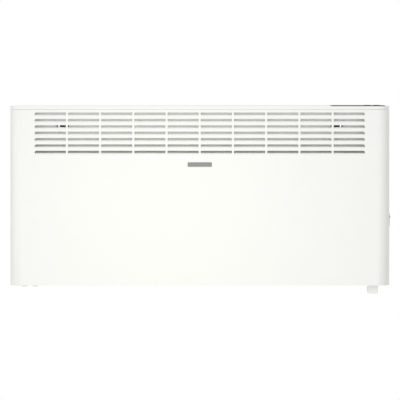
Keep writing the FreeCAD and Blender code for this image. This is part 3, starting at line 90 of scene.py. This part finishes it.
# %% Camera
CAMERA_AWAY, CAMERA_RIGHT, CAMERA_UP = 7.0, 0.6 * MM, 1 * MM
camera_data = bpy.data.cameras.new("camera")
camera_data.sensor_width = 36
camera_data.lens = 268.3
camera_data.clip_end = 60
camera = bpy.data.objects.new("camera", camera_data)
camera.location = (CAMERA_RIGHT, front_low.y - CAMERA_AWAY, CAMERA_UP)
camera.rotation_euler = (math.radians(90), 0, 0)
scene.collection.objects.link(camera)
scene.camera = camera
print("camera", round(camera_data.lens, 1), "mm lens at", [round(v, 3) for v in camera.location])

# %% [markdown]
# ## Shared surface grain
#
# Powder coat, moulded plastic, rubber and rolled metal all have the same thing in common: a fine
# irregular grain that changes the tone, the gloss and the relief together. It could be painted, but
# noise in the object's own coordinates has no seams and stays put when a piece moves. It is built
# once, as a node group with named sockets, and each finish sets its own scale and strength. Rolled
# metal is the same grain pulled out in one direction, so the group also takes a stretch.


# %% Helpers for node trees
def new_group(name, inputs, outputs):
    """An empty shader group with named inputs and outputs, and its two end nodes."""
    tree = bpy.data.node_groups.new(name, "ShaderNodeTree")
    for label, kind, default in inputs:
        tree.interface.new_socket(name=label, in_out="INPUT", socket_type=kind).default_value = default
    for label, kind in outputs:
        tree.interface.new_socket(name=label, in_out="OUTPUT", socket_type=kind)
    return tree, tree.nodes.new("NodeGroupInput"), tree.nodes.new("NodeGroupOutput")


def add(tree, kind, feeds=(), **settings):
    """A node with its settings. Each feed is (output socket or plain value, input socket)."""
    node = tree.nodes.new(kind)
    for key, value in settings.items():
        setattr(node, key, value)
    for source, target in feeds:
        if isinstance(source, bpy.types.NodeSocket):
            tree.links.new(source, node.inputs[target])
        else:
            node.inputs[target].default_value = source
    return node


print("helpers: new_group, add")


# %% Grained surface group
FLOAT, COLOUR, VECTOR = "NodeSocketFloat", "NodeSocketColor", "NodeSocketVector"
CLOUD_SCALE = 0.02
RELIEF_HEIGHT = 0.3 * MM
grain_group, gin, gout = new_group(
    "grained_surface",
    [("Base", COLOUR, (0.8, 0.8, 0.8, 1)), ("Variation", FLOAT, 0.05), ("Gloss Spread", FLOAT, 0.1),
     ("Roughness", FLOAT, 0.4), ("Scale", FLOAT, 900.0), ("Stretch", VECTOR, (1, 1, 1)),
     ("Relief", FLOAT, 0.1)],
    [("Colour", COLOUR), ("Roughness", FLOAT), ("Normal", VECTOR)],
)
place = add(grain_group, "ShaderNodeTexCoord")
pulled = add(grain_group, "ShaderNodeVectorMath",
             [(place.outputs["Object"], 0), (gin.outputs["Stretch"], 1)], operation="MULTIPLY")
fine = add(grain_group, "ShaderNodeTexNoise",
           [(pulled.outputs[0], "Vector"), (gin.outputs["Scale"], "Scale"), (3.0, "Detail")])
slower = add(grain_group, "ShaderNodeMath", [(gin.outputs["Scale"], 0), (CLOUD_SCALE, 1)],
             operation="MULTIPLY")
cloudy = add(grain_group, "ShaderNodeTexNoise",
             [(pulled.outputs[0], "Vector"), (slower.outputs[0], "Scale"), (2.0, "Detail")])
blend = add(grain_group, "ShaderNodeMath", [(fine.outputs["Fac"], 0), (cloudy.outputs["Fac"], 1)])
centred = add(grain_group, "ShaderNodeMath", [(blend.outputs[0], 0), (1.0, 1)], operation="SUBTRACT")
swing = add(grain_group, "ShaderNodeMath", [(centred.outputs[0], 0), (gin.outputs["Variation"], 1),
                                            (1.0, 2)], operation="MULTIPLY_ADD")
toned = add(grain_group, "ShaderNodeVectorMath", [(gin.outputs["Base"], 0), (swing.outputs[0], "Scale")],
            operation="SCALE")
spread = add(grain_group, "ShaderNodeMath", [(centred.outputs[0], 0), (gin.outputs["Gloss Spread"], 1),
                                             (1.0, 2)], operation="MULTIPLY_ADD")
rough = add(grain_group, "ShaderNodeMath", [(gin.outputs["Roughness"], 0), (spread.outputs[0], 1)],
            operation="MULTIPLY")
relief = add(grain_group, "ShaderNodeBump", [(gin.outputs["Relief"], "Strength"),
                                             (RELIEF_HEIGHT, "Distance"), (fine.outputs["Fac"], "Height")])
for source, target in ((toned.outputs[0], "Colour"), (rough.outputs[0], "Roughness"),
                       (relief.outputs[0], "Normal")):
    grain_group.links.new(source, gout.inputs[target])
print("grained_surface has", len(grain_group.nodes), "nodes")

# %% [markdown]
# ## Settled dust
#
# Anything that stays on a wall gathers a little dust on the faces that look up. The mask is the
# part of the normal that points up, broken by a patchy noise, and each finish says how much of it
# shows.

# %% Settled dust group
dust_group, din, dout = new_group(
    "settled_dust", [("Amount", FLOAT, 0.1), ("Scale", FLOAT, 30.0)], [("Mask", FLOAT)])
DUST_FROM = 0.6
facing = add(dust_group, "ShaderNodeNewGeometry")
upward = add(dust_group, "ShaderNodeSeparateXYZ", [(facing.outputs["Normal"], 0)])
level = add(dust_group, "ShaderNodeMapRange", [(upward.outputs["Z"], "Value"), (DUST_FROM, "From Min")])
place = add(dust_group, "ShaderNodeTexCoord")
patchy = add(dust_group, "ShaderNodeTexNoise",
             [(place.outputs["Object"], "Vector"), (din.outputs["Scale"], "Scale"), (5.0, "Detail")])
both = add(dust_group, "ShaderNodeMath", [(level.outputs[0], 0), (patchy.outputs["Fac"], 1)],
           operation="MULTIPLY")
share = add(dust_group, "ShaderNodeMath", [(both.outputs[0], 0), (din.outputs["Amount"], 1)],
            operation="MULTIPLY")
dust_group.links.new(share.outputs[0], dout.inputs["Mask"])
print("settled_dust has", len(dust_group.nodes), "nodes")

# %% [markdown]
# ## Material builder
#
# Every finish is one Principled shader. The values that are the same all over, such as metalness,
# sit on the shader's own sockets. What varies over the surface, the tone, the gloss and the relief,
# comes from the grain group.

# %% Material builder
GRAINS = {
    "coat": (1100.0, (1.0, 1.0, 1.0)),
    "mould": (1700.0, (1.0, 1.0, 1.0)),
    "rolled": (800.0, (0.03, 1.0, 1.0)),
    "upright": (800.0, (1.0, 1.0, 0.03)),
}
DUST_COLOUR = (0.6, 0.58, 0.54, 1)
GLOSS_SPREAD = 0.25


def finish(name, colour, roughness, grain="mould", relief=0.1, vary=0.06, metal=0.0, dust=0.0, **sockets):
    """A Principled material with the shared grain, and dust where it is asked for."""
    material = bpy.data.materials.new(name)
    material.use_nodes = True
    tree = material.node_tree
    shader = next(n for n in tree.nodes if n.type == "BSDF_PRINCIPLED")
    scale, stretch = GRAINS[grain]
    surface = add(tree, "ShaderNodeGroup", node_tree=grain_group)
    values = {"Base": (*colour, 1), "Variation": vary, "Gloss Spread": GLOSS_SPREAD, "Roughness": roughness,
              "Scale": scale, "Stretch": stretch, "Relief": relief}
    for label, value in values.items():
        surface.inputs[label].default_value = value
    tone = surface.outputs["Colour"]
    if dust:
        veil = add(tree, "ShaderNodeGroup", node_tree=dust_group)
        veil.inputs["Amount"].default_value = dust
        veiled = add(tree, "ShaderNodeMix", data_type="RGBA",
                     feeds=[(veil.outputs["Mask"], 0), (tone, 6), (DUST_COLOUR, 7)])
        tone = veiled.outputs[2]
    tree.links.new(tone, shader.inputs["Base Color"])
    tree.links.new(surface.outputs["Roughness"], shader.inputs["Roughness"])
    tree.links.new(surface.outputs["Normal"], shader.inputs["Normal"])
    shader.inputs["Metallic"].default_value = metal
    for socket, value in sockets.items():
        shader.inputs[socket.replace("_", " ")].default_value = value
    finishes[name] = material
    return material


finishes = {}
print("grains:", ", ".join(GRAINS))

# %% [markdown]
# ## White finishes
#
# The casing is sheet steel with a baked powder coat: nearly white, slightly warm, with a soft gloss
# and a fine orange peel. The inner sheet has a smoother enamel that stands the heat. The trim along
# the top is moulded plastic, a shade glossier than the coat, so the two read as different pieces.

# %% White finishes
finish("enamel_white", (0.935, 0.935, 0.925), 0.44, "coat", 0.10, 0.012, dust=0.05)
finish("liner_white", (0.93, 0.93, 0.92), 0.5, "coat", 0.06, 0.012)
finish("trim_white", (0.935, 0.935, 0.925), 0.36, "mould", 0.06, 0.012, dust=0.04)
finish("nylon_white", (0.86, 0.86, 0.83), 0.44, "mould", 0.12, 0.03)
finish("ceramic", (0.84, 0.81, 0.74), 0.62, "mould", 0.2, 0.06)
print("white finishes:", len(finishes))

# %% [markdown]
# ## Dark plastics and rubber
#
# The control panel is tinted plastic, given little reflection here so that it reads dark. Keys and
# rocker are satin so that fingers don't mark them. The gland, the components and the wall pads are
# plainer.

# %% Dark plastics and rubber
finish("panel_black", (0.01, 0.01, 0.012), 0.34, "mould", 0.02, 0.2, Specular_IOR_Level=0.12)
finish("display_glass", (0.015, 0.02, 0.022), 0.08, "mould", 0.01, 0.2)
finish("key_black", (0.028, 0.028, 0.031), 0.34, "mould", 0.1, 0.2)
finish("switch_black", (0.03, 0.03, 0.032), 0.38, "mould", 0.15, 0.2)
finish("nylon_black", (0.03, 0.03, 0.03), 0.45, "mould", 0.15, 0.2)
finish("phenolic", (0.07, 0.045, 0.04), 0.4, "mould", 0.15, 0.2)
finish("component_black", (0.03, 0.03, 0.032), 0.42, "mould", 0.15, 0.2)
finish("rubber_grey", (0.2, 0.2, 0.21), 0.72, "mould", 0.3, 0.12)
finish("switch_grey", (0.62, 0.63, 0.63), 0.4, "mould", 0.12, 0.05)
finish("badge_dark", (0.27, 0.27, 0.275), 0.45, "rolled", 0.1, 0.12)
print("dark finishes so far:", len(finishes))

# %% [markdown]
# ## Metals
#
# The bracket is galvanised strip, whose zinc sets in large flat crystals, the spangle. A Voronoi
# pattern gives each crystal its own tone and gloss. The catches are blackened spring steel. The
# element is extruded aluminium on a drawn sheath, so both have a grain along their length.


# %% Metals
def spangle(material, size, strength):
    """Gives each zinc crystal its own tone and gloss, over the finish's own grain."""
    tree = material.node_tree
    shader = next(n for n in tree.nodes if n.type == "BSDF_PRINCIPLED")
    place = add(tree, "ShaderNodeTexCoord")
    crystals = add(tree, "ShaderNodeTexVoronoi", [(place.outputs["Object"], "Vector"), (1 / size, "Scale"),
                                                  (0.9, "Randomness")])
    grey = add(tree, "ShaderNodeRGBToBW", [(crystals.outputs["Color"], 0)])
    for socket, low in (("Base Color", 1 - strength), ("Roughness", 1 - strength)):
        step = add(tree, "ShaderNodeMapRange", [(grey.outputs[0], "Value"), (low, "To Min"),
                                                (1 + strength / 3, "To Max")])
        before = shader.inputs[socket].links[0].from_socket
        if socket == "Base Color":
            after = add(tree, "ShaderNodeVectorMath", [(before, 0), (step.outputs[0], "Scale")],
                        operation="SCALE")
        else:
            after = add(tree, "ShaderNodeMath", [(before, 0), (step.outputs[0], 1)], operation="MULTIPLY")
        tree.links.new(after.outputs[0], shader.inputs[socket])


spangle(finish("galvanised", (0.62, 0.64, 0.66), 0.42, "upright", 0.08, 0.08, metal=0.9, dust=0.1),
        7 * MM, 0.28)
finish("spring_steel", (0.1, 0.1, 0.105), 0.45, "upright", 0.1, 0.3, metal=0.3)
finish("zinc_screw", (0.6, 0.6, 0.58), 0.3, "rolled", 0.1, 0.12, metal=1.0)
finish("element_aluminium", (0.72, 0.73, 0.74), 0.45, "rolled", 0.15, 0.1, metal=0.9)
finish("element_sheath", (0.4, 0.38, 0.36), 0.38, "rolled", 0.12, 0.2, metal=1.0)
finish("brass", (0.75, 0.58, 0.28), 0.3, "rolled", 0.08, 0.12, metal=1.0)
finish("label_silver", (0.7, 0.71, 0.72), 0.35, "rolled", 0.05, 0.05, metal=0.3)
print("finishes with the metals:", len(finishes))

# %% [markdown]
# ## Wiring and boards
#
# Lead colours follow the usual code: brown live, blue neutral, green for earth. The leads near the
# element run in woven glass sleeve, so theirs is rough. Solder resist is a thin glossy green.

# %% Wiring and boards
finish("lead_brown", (0.2, 0.08, 0.03), 0.4, "mould", 0.06, 0.1)
finish("lead_blue", (0.03, 0.12, 0.5), 0.4, "mould", 0.06, 0.1)
finish("lead_earth", (0.25, 0.5, 0.04), 0.4, "mould", 0.06, 0.1)
finish("lead_glass", (0.82, 0.8, 0.74), 0.7, "mould", 0.5, 0.12)
finish("lead_grey", (0.32, 0.32, 0.33), 0.45, "mould", 0.08, 0.1)
finish("board_green", (0.02, 0.16, 0.07), 0.3, "coat", 0.1, 0.3, Coat_Weight=0.4)
finish("component_blue", (0.03, 0.09, 0.35), 0.32, "mould", 0.08, 0.12)
finish("capacitor_yellow", (0.75, 0.5, 0.06), 0.34, "mould", 0.08, 0.1)
finish("print_white", (0.78, 0.79, 0.8), 0.5, "mould", 0.05, 0.04)
finish("print_dark", (0.05, 0.05, 0.055), 0.5, "mould", 0.05, 0.1)
finish("segment_ghost", (0.06, 0.064, 0.068), 0.35, "mould", 0.05, 0.1)
print("all finishes:", len(finishes))

# %% [markdown]
# ## Finishing the CAD nodes
#
# Folded sheet and moulded plastic have no knife edges. The CAD meshes are sharp, so their edges are
# broken here with modifiers: a weld joins the split faces of the mesh, and a narrow bevel catches
# the light along each edge. Only nodes that can be seen from outside get them.

# %% Soft edges and finishes
OUTSIDE = {
    "front_cover": 0.25, "top_trim": 0.2, "end_channel_left": 0.25, "end_channel_right": 0.25,
    "top_channel": 0.25, "rear_panel": 0.2, "badge": 0.2, "switch_body": 0.2, "switch_rocker": 0.2,
    "sensor_cap": 0.2, "blanking_plugs": 0.2, "bracket_rail_left": 0.3, "bracket_rail_right": 0.3,
    "bracket_bar_upper": 0.3, "bracket_bar_lower": 0.3,
}
WELD_WITHIN, SHARP_ABOVE = 0.005 * MM, math.radians(40)


def soften(obj, width):
    """Welds a CAD mesh's split faces and breaks its sharp edges by a small width."""
    weld = obj.modifiers.new("weld", "WELD")
    weld.merge_threshold = WELD_WITHIN
    bevel = obj.modifiers.new("edge_break", "BEVEL")
    bevel.width = width
    bevel.segments = 2
    bevel.limit_method = "ANGLE"
    bevel.angle_limit = SHARP_ABOVE
    bevel.harden_normals = True


for name, obj in nodes.items():
    obj.data.materials.clear()
    obj.data.materials.append(finishes[slots[name]])
    if name in OUTSIDE:
        soften(obj, OUTSIDE[name] * MM)
print("finished", len(nodes), "nodes, soft edges on", len(OUTSIDE))

# %% [markdown]
# ## Keys with a finger dish
#
# A key top isn't flat: it has a shallow dish that finds the fingertip, with a rounded rim. Each key
# is lofted through rounded rectangles, from the stem's foot up round the flange and the cap, and
# down again into the dish. The sizes come from the CAD key that it replaces.


# %% Loft helpers
def rounded_ring(middle, half_x, half_y, radius, height, steps=5):
    """Points round a rounded rectangle at one height."""
    points = []
    for corner, (side_x, side_y) in enumerate(((1, 1), (-1, 1), (-1, -1), (1, -1))):
        for step in range(steps + 1):
            angle = math.pi / 2 * (corner + step / steps)
            points.append((middle.x + side_x * (half_x - radius) + radius * math.cos(angle),
                           middle.y + side_y * (half_y - radius) + radius * math.sin(angle), height))
    return points


def loft(name, rings):
    """A closed mesh through rings of equal length, capped at both ends."""
    count = len(rings[0])
    faces = [tuple(reversed(range(count)))]
    for row in range(len(rings) - 1):
        for i in range(count):
            j = (i + 1) % count
            faces.append((row * count + i, row * count + j, (row + 1) * count + j, (row + 1) * count + i))
    faces.append(tuple(range((len(rings) - 1) * count, len(rings) * count)))
    mesh = bpy.data.meshes.new(name)
    mesh.from_pydata([p for ring in rings for p in ring], [], faces)
    return mesh


def place_piece(name, mesh, body, slot, material=None):
    """Links a mesh as a piece that rides on a body, finished with the given material, else with the slot's
    finish.
    """
    mesh.materials.append(finishes[material or slot])
    obj = bpy.data.objects.new(name, mesh)
    scene.collection.objects.link(obj)
    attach(obj, body)
    return obj


print("helpers: rounded_ring, loft, place_piece")


# %% Keys
KEY_NAMES = ("key_menu", "key_enter", "key_minus", "key_plus")
FLANGE_OUT, FLANGE_THICK, CAP_TALL = 1.2 * MM, 1.2 * MM, 5.4 * MM
STEM_RADIUS, CORNER, DISH = 1.8 * MM, 2.0 * MM, 0.35 * MM
FLANGE_CORNER, DISH_CORNER, SMOOTH_DEPTH = 0.5 * MM, 1.1 * MM, 1.2 * MM
RIM_STEPS = ((0, 0.5), (0.06, 0.25), (0.22, 0.07), (0.5, 0.0), (0.85, 0.03))  # inset and drop, mm
DISH_STEPS = ((1.4, 0.45), (2.0, 0.85), (2.6, 1.0))  # inset in mm and share of the dish's depth

for name in KEY_NAMES:
    low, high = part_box(name)
    middle, half = (low + high) / 2, (high - low) / 2
    cap_x, cap_y, flange_high = half.x - FLANGE_OUT, half.y - FLANGE_OUT, high.z - CAP_TALL
    flange_low = flange_high - FLANGE_THICK
    rings = [rounded_ring(middle, STEM_RADIUS, STEM_RADIUS, STEM_RADIUS * 0.99, z)
             for z in (low.z, flange_low)]
    rings += [rounded_ring(middle, half.x, half.y, FLANGE_CORNER, z) for z in (flange_low, flange_high)]
    rings.append(rounded_ring(middle, cap_x, cap_y, CORNER, flange_high))
    for inset, drop in RIM_STEPS:
        rings.append(rounded_ring(middle, cap_x - inset * MM, cap_y - inset * MM,
                                  CORNER - inset * MM * 0.6, high.z - drop * MM))
    for inset, share in DISH_STEPS:
        rings.append(rounded_ring(middle, cap_x - inset * MM, cap_y - inset * MM, DISH_CORNER,
                                  high.z - DISH * share))
    mesh = loft(name + "_dished", rings)
    for polygon in mesh.polygons:
        polygon.use_smooth = polygon.center.z > high.z - SMOOTH_DEPTH and len(polygon.vertices) == 4
    piece = place_piece(name + "_dished", mesh, name, "key_black")
    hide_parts(name)
print("dished keys:", len(KEY_NAMES))

# %% [markdown]
# ## Printed marks
#
# The marks on keys, display, rocker and rating plate are pad-printed ink, a few hundredths of a
# millimetre thick. Each is a thin plate of its own. A mark is drawn flat as strokes and rings in its
# own plane, and then carried to the face by three directions: across, up and out.


# %% Ink helpers
INK = 0.03 * MM


def stroke(ends, width):
    """A rectangle along a line from one point to another, as a flat outline."""
    (x0, y0), (x1, y1) = ends
    along = Vector((x1 - x0, y1 - y0)).normalized()
    side = Vector((-along.y, along.x)) * width / 2
    start, end = Vector((x0, y0)), Vector((x1, y1))
    return [start - side, end - side, end + side, start + side]


def round_stroke(middle, radius, width, steps=28):
    """A ring as a row of short flat outlines that share their edges."""
    pieces = []
    for step in range(steps):
        turns = [2 * math.pi * (step + i) / steps for i in (0, 1)]
        arms = [Vector((math.cos(t), math.sin(t))) for t in turns]
        inner, outer = radius - width / 2, radius + width / 2
        corners = (arms[0] * inner, arms[0] * outer, arms[1] * outer, arms[1] * inner)
        pieces.append([Vector(middle) + corner for corner in corners])
    return pieces


def ink_mesh(name, outlines, origin, across, up, out, thick=INK):
    """Thin plates over flat outlines in millimetres, placed by three directions."""
    points, faces = [], []
    for outline in outlines:
        base, count = len(points), len(outline)
        for lift in (0.0, thick):
            for corner in outline:
                points.append(origin + across * corner[0] * MM + up * corner[1] * MM + out * lift)
        faces.append([base + count + i for i in range(count)])
        faces.append([base + count - 1 - i for i in range(count)])
        for i in range(count):
            j = (i + 1) % count
            faces.append([base + i, base + j, base + count + j, base + count + i])
    mesh = bpy.data.meshes.new(name)
    mesh.from_pydata(points, [], faces)
    return mesh


X, Y, Z = Vector((1, 0, 0)), Vector((0, 1, 0)), Vector((0, 0, 1))
print("ink is", INK / MM, "mm thick")

# %% Key marks
LINE = 0.7
KEY_MARKS = {
    "key_menu": [stroke(((-2.2, y), (2.2, y)), LINE) for y in (-1.6, 0, 1.6)],
    "key_enter": round_stroke((0, 0), 1.7, LINE),
    "key_minus": [stroke(((-2, 0), (2, 0)), LINE)],
    "key_plus": [stroke(((-2, 0), (2, 0)), LINE), stroke(((0, LINE / 2), (0, 2)), LINE),
                 stroke(((0, -2), (0, -LINE / 2)), LINE)],
}
for name, outlines in KEY_MARKS.items():
    low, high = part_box(name)
    origin = Vector(((low.x + high.x) / 2, (low.y + high.y) / 2, high.z - DISH))
    mesh = ink_mesh(name + "_mark", outlines, origin, X, Y, Z)
    place_piece(name + "_mark", mesh, name, "key_black", "print_white")
print("key marks:", ", ".join(KEY_MARKS))

# %% [markdown]
# ## Display
#
# The number display sits behind the tinted panel. Switched off, its segments still show faintly, a
# little paler than the panel, inside a thin printed frame. Each digit is seven pointed bars.


# %% Display segments
def segment(start, end, width):
    """A seven-segment bar with pointed ends, as a flat outline."""
    start, end = Vector(start), Vector(end)
    along = (end - start).normalized()
    side = Vector((-along.y, along.x)) * width / 2
    tip = along * width / 2
    return [start, start + tip - side, end - tip - side, end, end - tip + side, start + tip + side]


def digit(left, low, wide, tall, width, gap=0.25):
    """The seven bars of one digit."""
    xs, ys = (left, left + wide), (low, low + tall / 2, low + tall)
    bars = [((xs[0] + gap, y), (xs[1] - gap, y)) for y in ys]
    bars += [((x, ys[row] + gap), (x, ys[row + 1] - gap)) for x in xs for row in (0, 1)]
    return [segment(start, end, width) for start, end in bars]


panel_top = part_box("control_panel")[1].z
glass_low, glass_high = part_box("display_module")
window = Vector(((glass_low.x + glass_high.x) / 2, (glass_low.y + glass_high.y) / 2, panel_top))
DIGIT_LEFT, DIGIT_STEP, DIGIT_LOW, DIGIT_WIDE, DIGIT_TALL, BAR = -19, 14.5, -7, 8.5, 14, 1.5
digits = []
for number in range(3):
    digits += digit(DIGIT_LEFT + DIGIT_STEP * number, DIGIT_LOW, DIGIT_WIDE, DIGIT_TALL, BAR)
digits.append([Vector(p) for p in ((7.6, -7.6), (8.8, -7.6), (8.8, -6.4), (7.6, -6.4))])
place_piece("display_segments", ink_mesh("display_segments", digits, window, X, Y, Z), "casing",
            "display_glass", "segment_ghost")
half_x, half_y = (glass_high.x - glass_low.x) / 2 / MM, (glass_high.y - glass_low.y) / 2 / MM
edges = [((-half_x, y), (half_x, y)) for y in (-half_y, half_y)]
edges += [((x, -half_y + 0.2), (x, half_y - 0.2)) for x in (-half_x, half_x)]
place_piece("display_frame", ink_mesh("display_frame", [stroke(e, 0.4) for e in edges], window, X, Y, Z),
            "casing", "display_glass", "segment_ghost")
print("display bars:", len(digits))

# %% [markdown]
# ## Rocker marks
#
# The mains rocker carries the two usual marks, a line for on and a ring for off. Its faces lean, so
# each point of a mark is dropped onto the CAD rocker by a ray and lifted by the ink's thickness.

# %% Rocker marks
rocker = nodes["switch_rocker"]
rocker_low, rocker_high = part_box("switch_rocker")
surface = BVHTree.FromObject(rocker, bpy.context.evaluated_depsgraph_get())
face_middle = (rocker_low + rocker_high) / 2
face_middle.x = rocker_high.x
for label, outlines in (("rocker_on", [stroke(((0, 3.2), (0, 7.2)), 0.8)]),
                        ("rocker_off", round_stroke((0, -5.2), 1.9, 0.8))):
    mesh = ink_mesh(label, outlines, face_middle, Y, Z, X)
    for vertex in mesh.vertices:
        lift = vertex.co.x - face_middle.x
        hit = surface.ray_cast(vertex.co + X, -X)[0]
        vertex.co.x = hit.x + lift
    place_piece(label, mesh, "switch_rocker", "switch_black", "print_white")
print("rocker marks at x", round(hit.x, 4))

# %% [markdown]
# ## Rating plate
#
# The plate on the back is printed film. Its table is left blank: only the rules that divide it are
# drawn, as seen from behind the heater.

# %% Rating plate
plate_low, plate_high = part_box("rating_plate")
plate_middle = (plate_low + plate_high) / 2
plate_middle.y = plate_high.y
wide, tall = (plate_high.x - plate_low.x) / 2 / MM - 2, (plate_high.z - plate_low.z) / 2 / MM - 2
rules = [((-wide, y), (wide, y)) for y in (-tall, -tall / 3, tall / 3, tall)]
rules += [((x, -tall), (x, tall)) for x in (-wide, wide)]
rules += [((x, -tall), (x, -tall / 3)) for x in (-wide / 3, wide / 3)]
place_piece("rating_plate_rules",
            ink_mesh("rating_plate_rules", [stroke(r, 0.5) for r in rules], plate_middle, -X, Z, Y),
            "casing", "label_silver", "print_dark")
print("rating plate rules:", len(rules))

# %% [markdown]
# ## Studio
#
# The room is one large soft tent of light, a little brighter from the left and from above. A single
# softbox in front adds the warm centre that fades toward the ends of the casing. To the camera the
# tent is plain white.

# %% Tent light
TENT, LEAN = 0.797, (-0.142, 0.0, 0.15)
scene.view_settings.view_transform = "Standard"
world = bpy.data.worlds.new("studio")
scene.world = world
world.use_nodes = True
sky = world.node_tree
plain = next(n for n in sky.nodes if n.type == "BACKGROUND")
plain.inputs["Color"].default_value = (1, 1, 1, 1)
plain.inputs["Strength"].default_value = 1.0
end = next(n for n in sky.nodes if n.type == "OUTPUT_WORLD")
direction = add(sky, "ShaderNodeTexCoord")
leaning = add(sky, "ShaderNodeVectorMath", [(direction.outputs["Generated"], 0), (LEAN, 1)],
              operation="DOT_PRODUCT")
strength = add(sky, "ShaderNodeMath", [(leaning.outputs["Value"], 0), (TENT, 1)])
tent = add(sky, "ShaderNodeBackground", [((1.0, 1.0, 1.0, 1), "Color"), (strength.outputs[0], "Strength")])
seen = add(sky, "ShaderNodeLightPath")
choose = add(sky, "ShaderNodeMixShader", [(seen.outputs["Is Camera Ray"], 0), (tent.outputs[0], 1),
                                          (plain.outputs[0], 2)])
sky.links.new(choose.outputs[0], end.inputs["Surface"])
print("tent light", TENT, "leaning by", LEAN)


# %% Softbox
def softbox(name, place, size, power, colour):
    """A square area light that faces the middle of the casing."""
    lamp = bpy.data.lights.new(name, "AREA")
    lamp.shape = "SQUARE"
    lamp.size = size
    lamp.energy = power
    lamp.color = colour
    obj = bpy.data.objects.new(name, lamp)
    obj.location = place
    obj.rotation_euler = (-Vector(place)).to_track_quat("-Z", "Y").to_euler()
    obj.visible_camera = False
    scene.collection.objects.link(obj)
    return obj


key_light = softbox("key_light", (-0.1, front_low.y - 1.0, 0.05), 0.5, 2.2, (1.0, 1.02, 0.86))
print("softbox of", key_light.data.energy, "W")

# %% Floor
FLOOR_DROP, FLOOR_HALF = 0.62, 1.3
floor_mesh = bpy.data.meshes.new("floor")
corners = [(x * FLOOR_HALF, y * FLOOR_HALF, -FLOOR_DROP) for x, y in ((-1, -1), (1, -1), (1, 1), (-1, 1))]
floor_mesh.from_pydata(corners, [], [(0, 1, 2, 3)])
floor_mesh.materials.append(finish("floor_pale", (0.86, 0.86, 0.85), 0.6, "mould", 0.05, 0.03))
floor = bpy.data.objects.new("floor", floor_mesh)
scene.collection.objects.link(floor)
floor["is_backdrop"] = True
print("floor", 2 * FLOOR_HALF, "m square,", FLOOR_DROP, "m below the bracket's middle")

# %% Sizes and finish
low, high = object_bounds()
print("visual model from", [round(v, 4) for v in low], "to", [round(v, 4) for v in high])
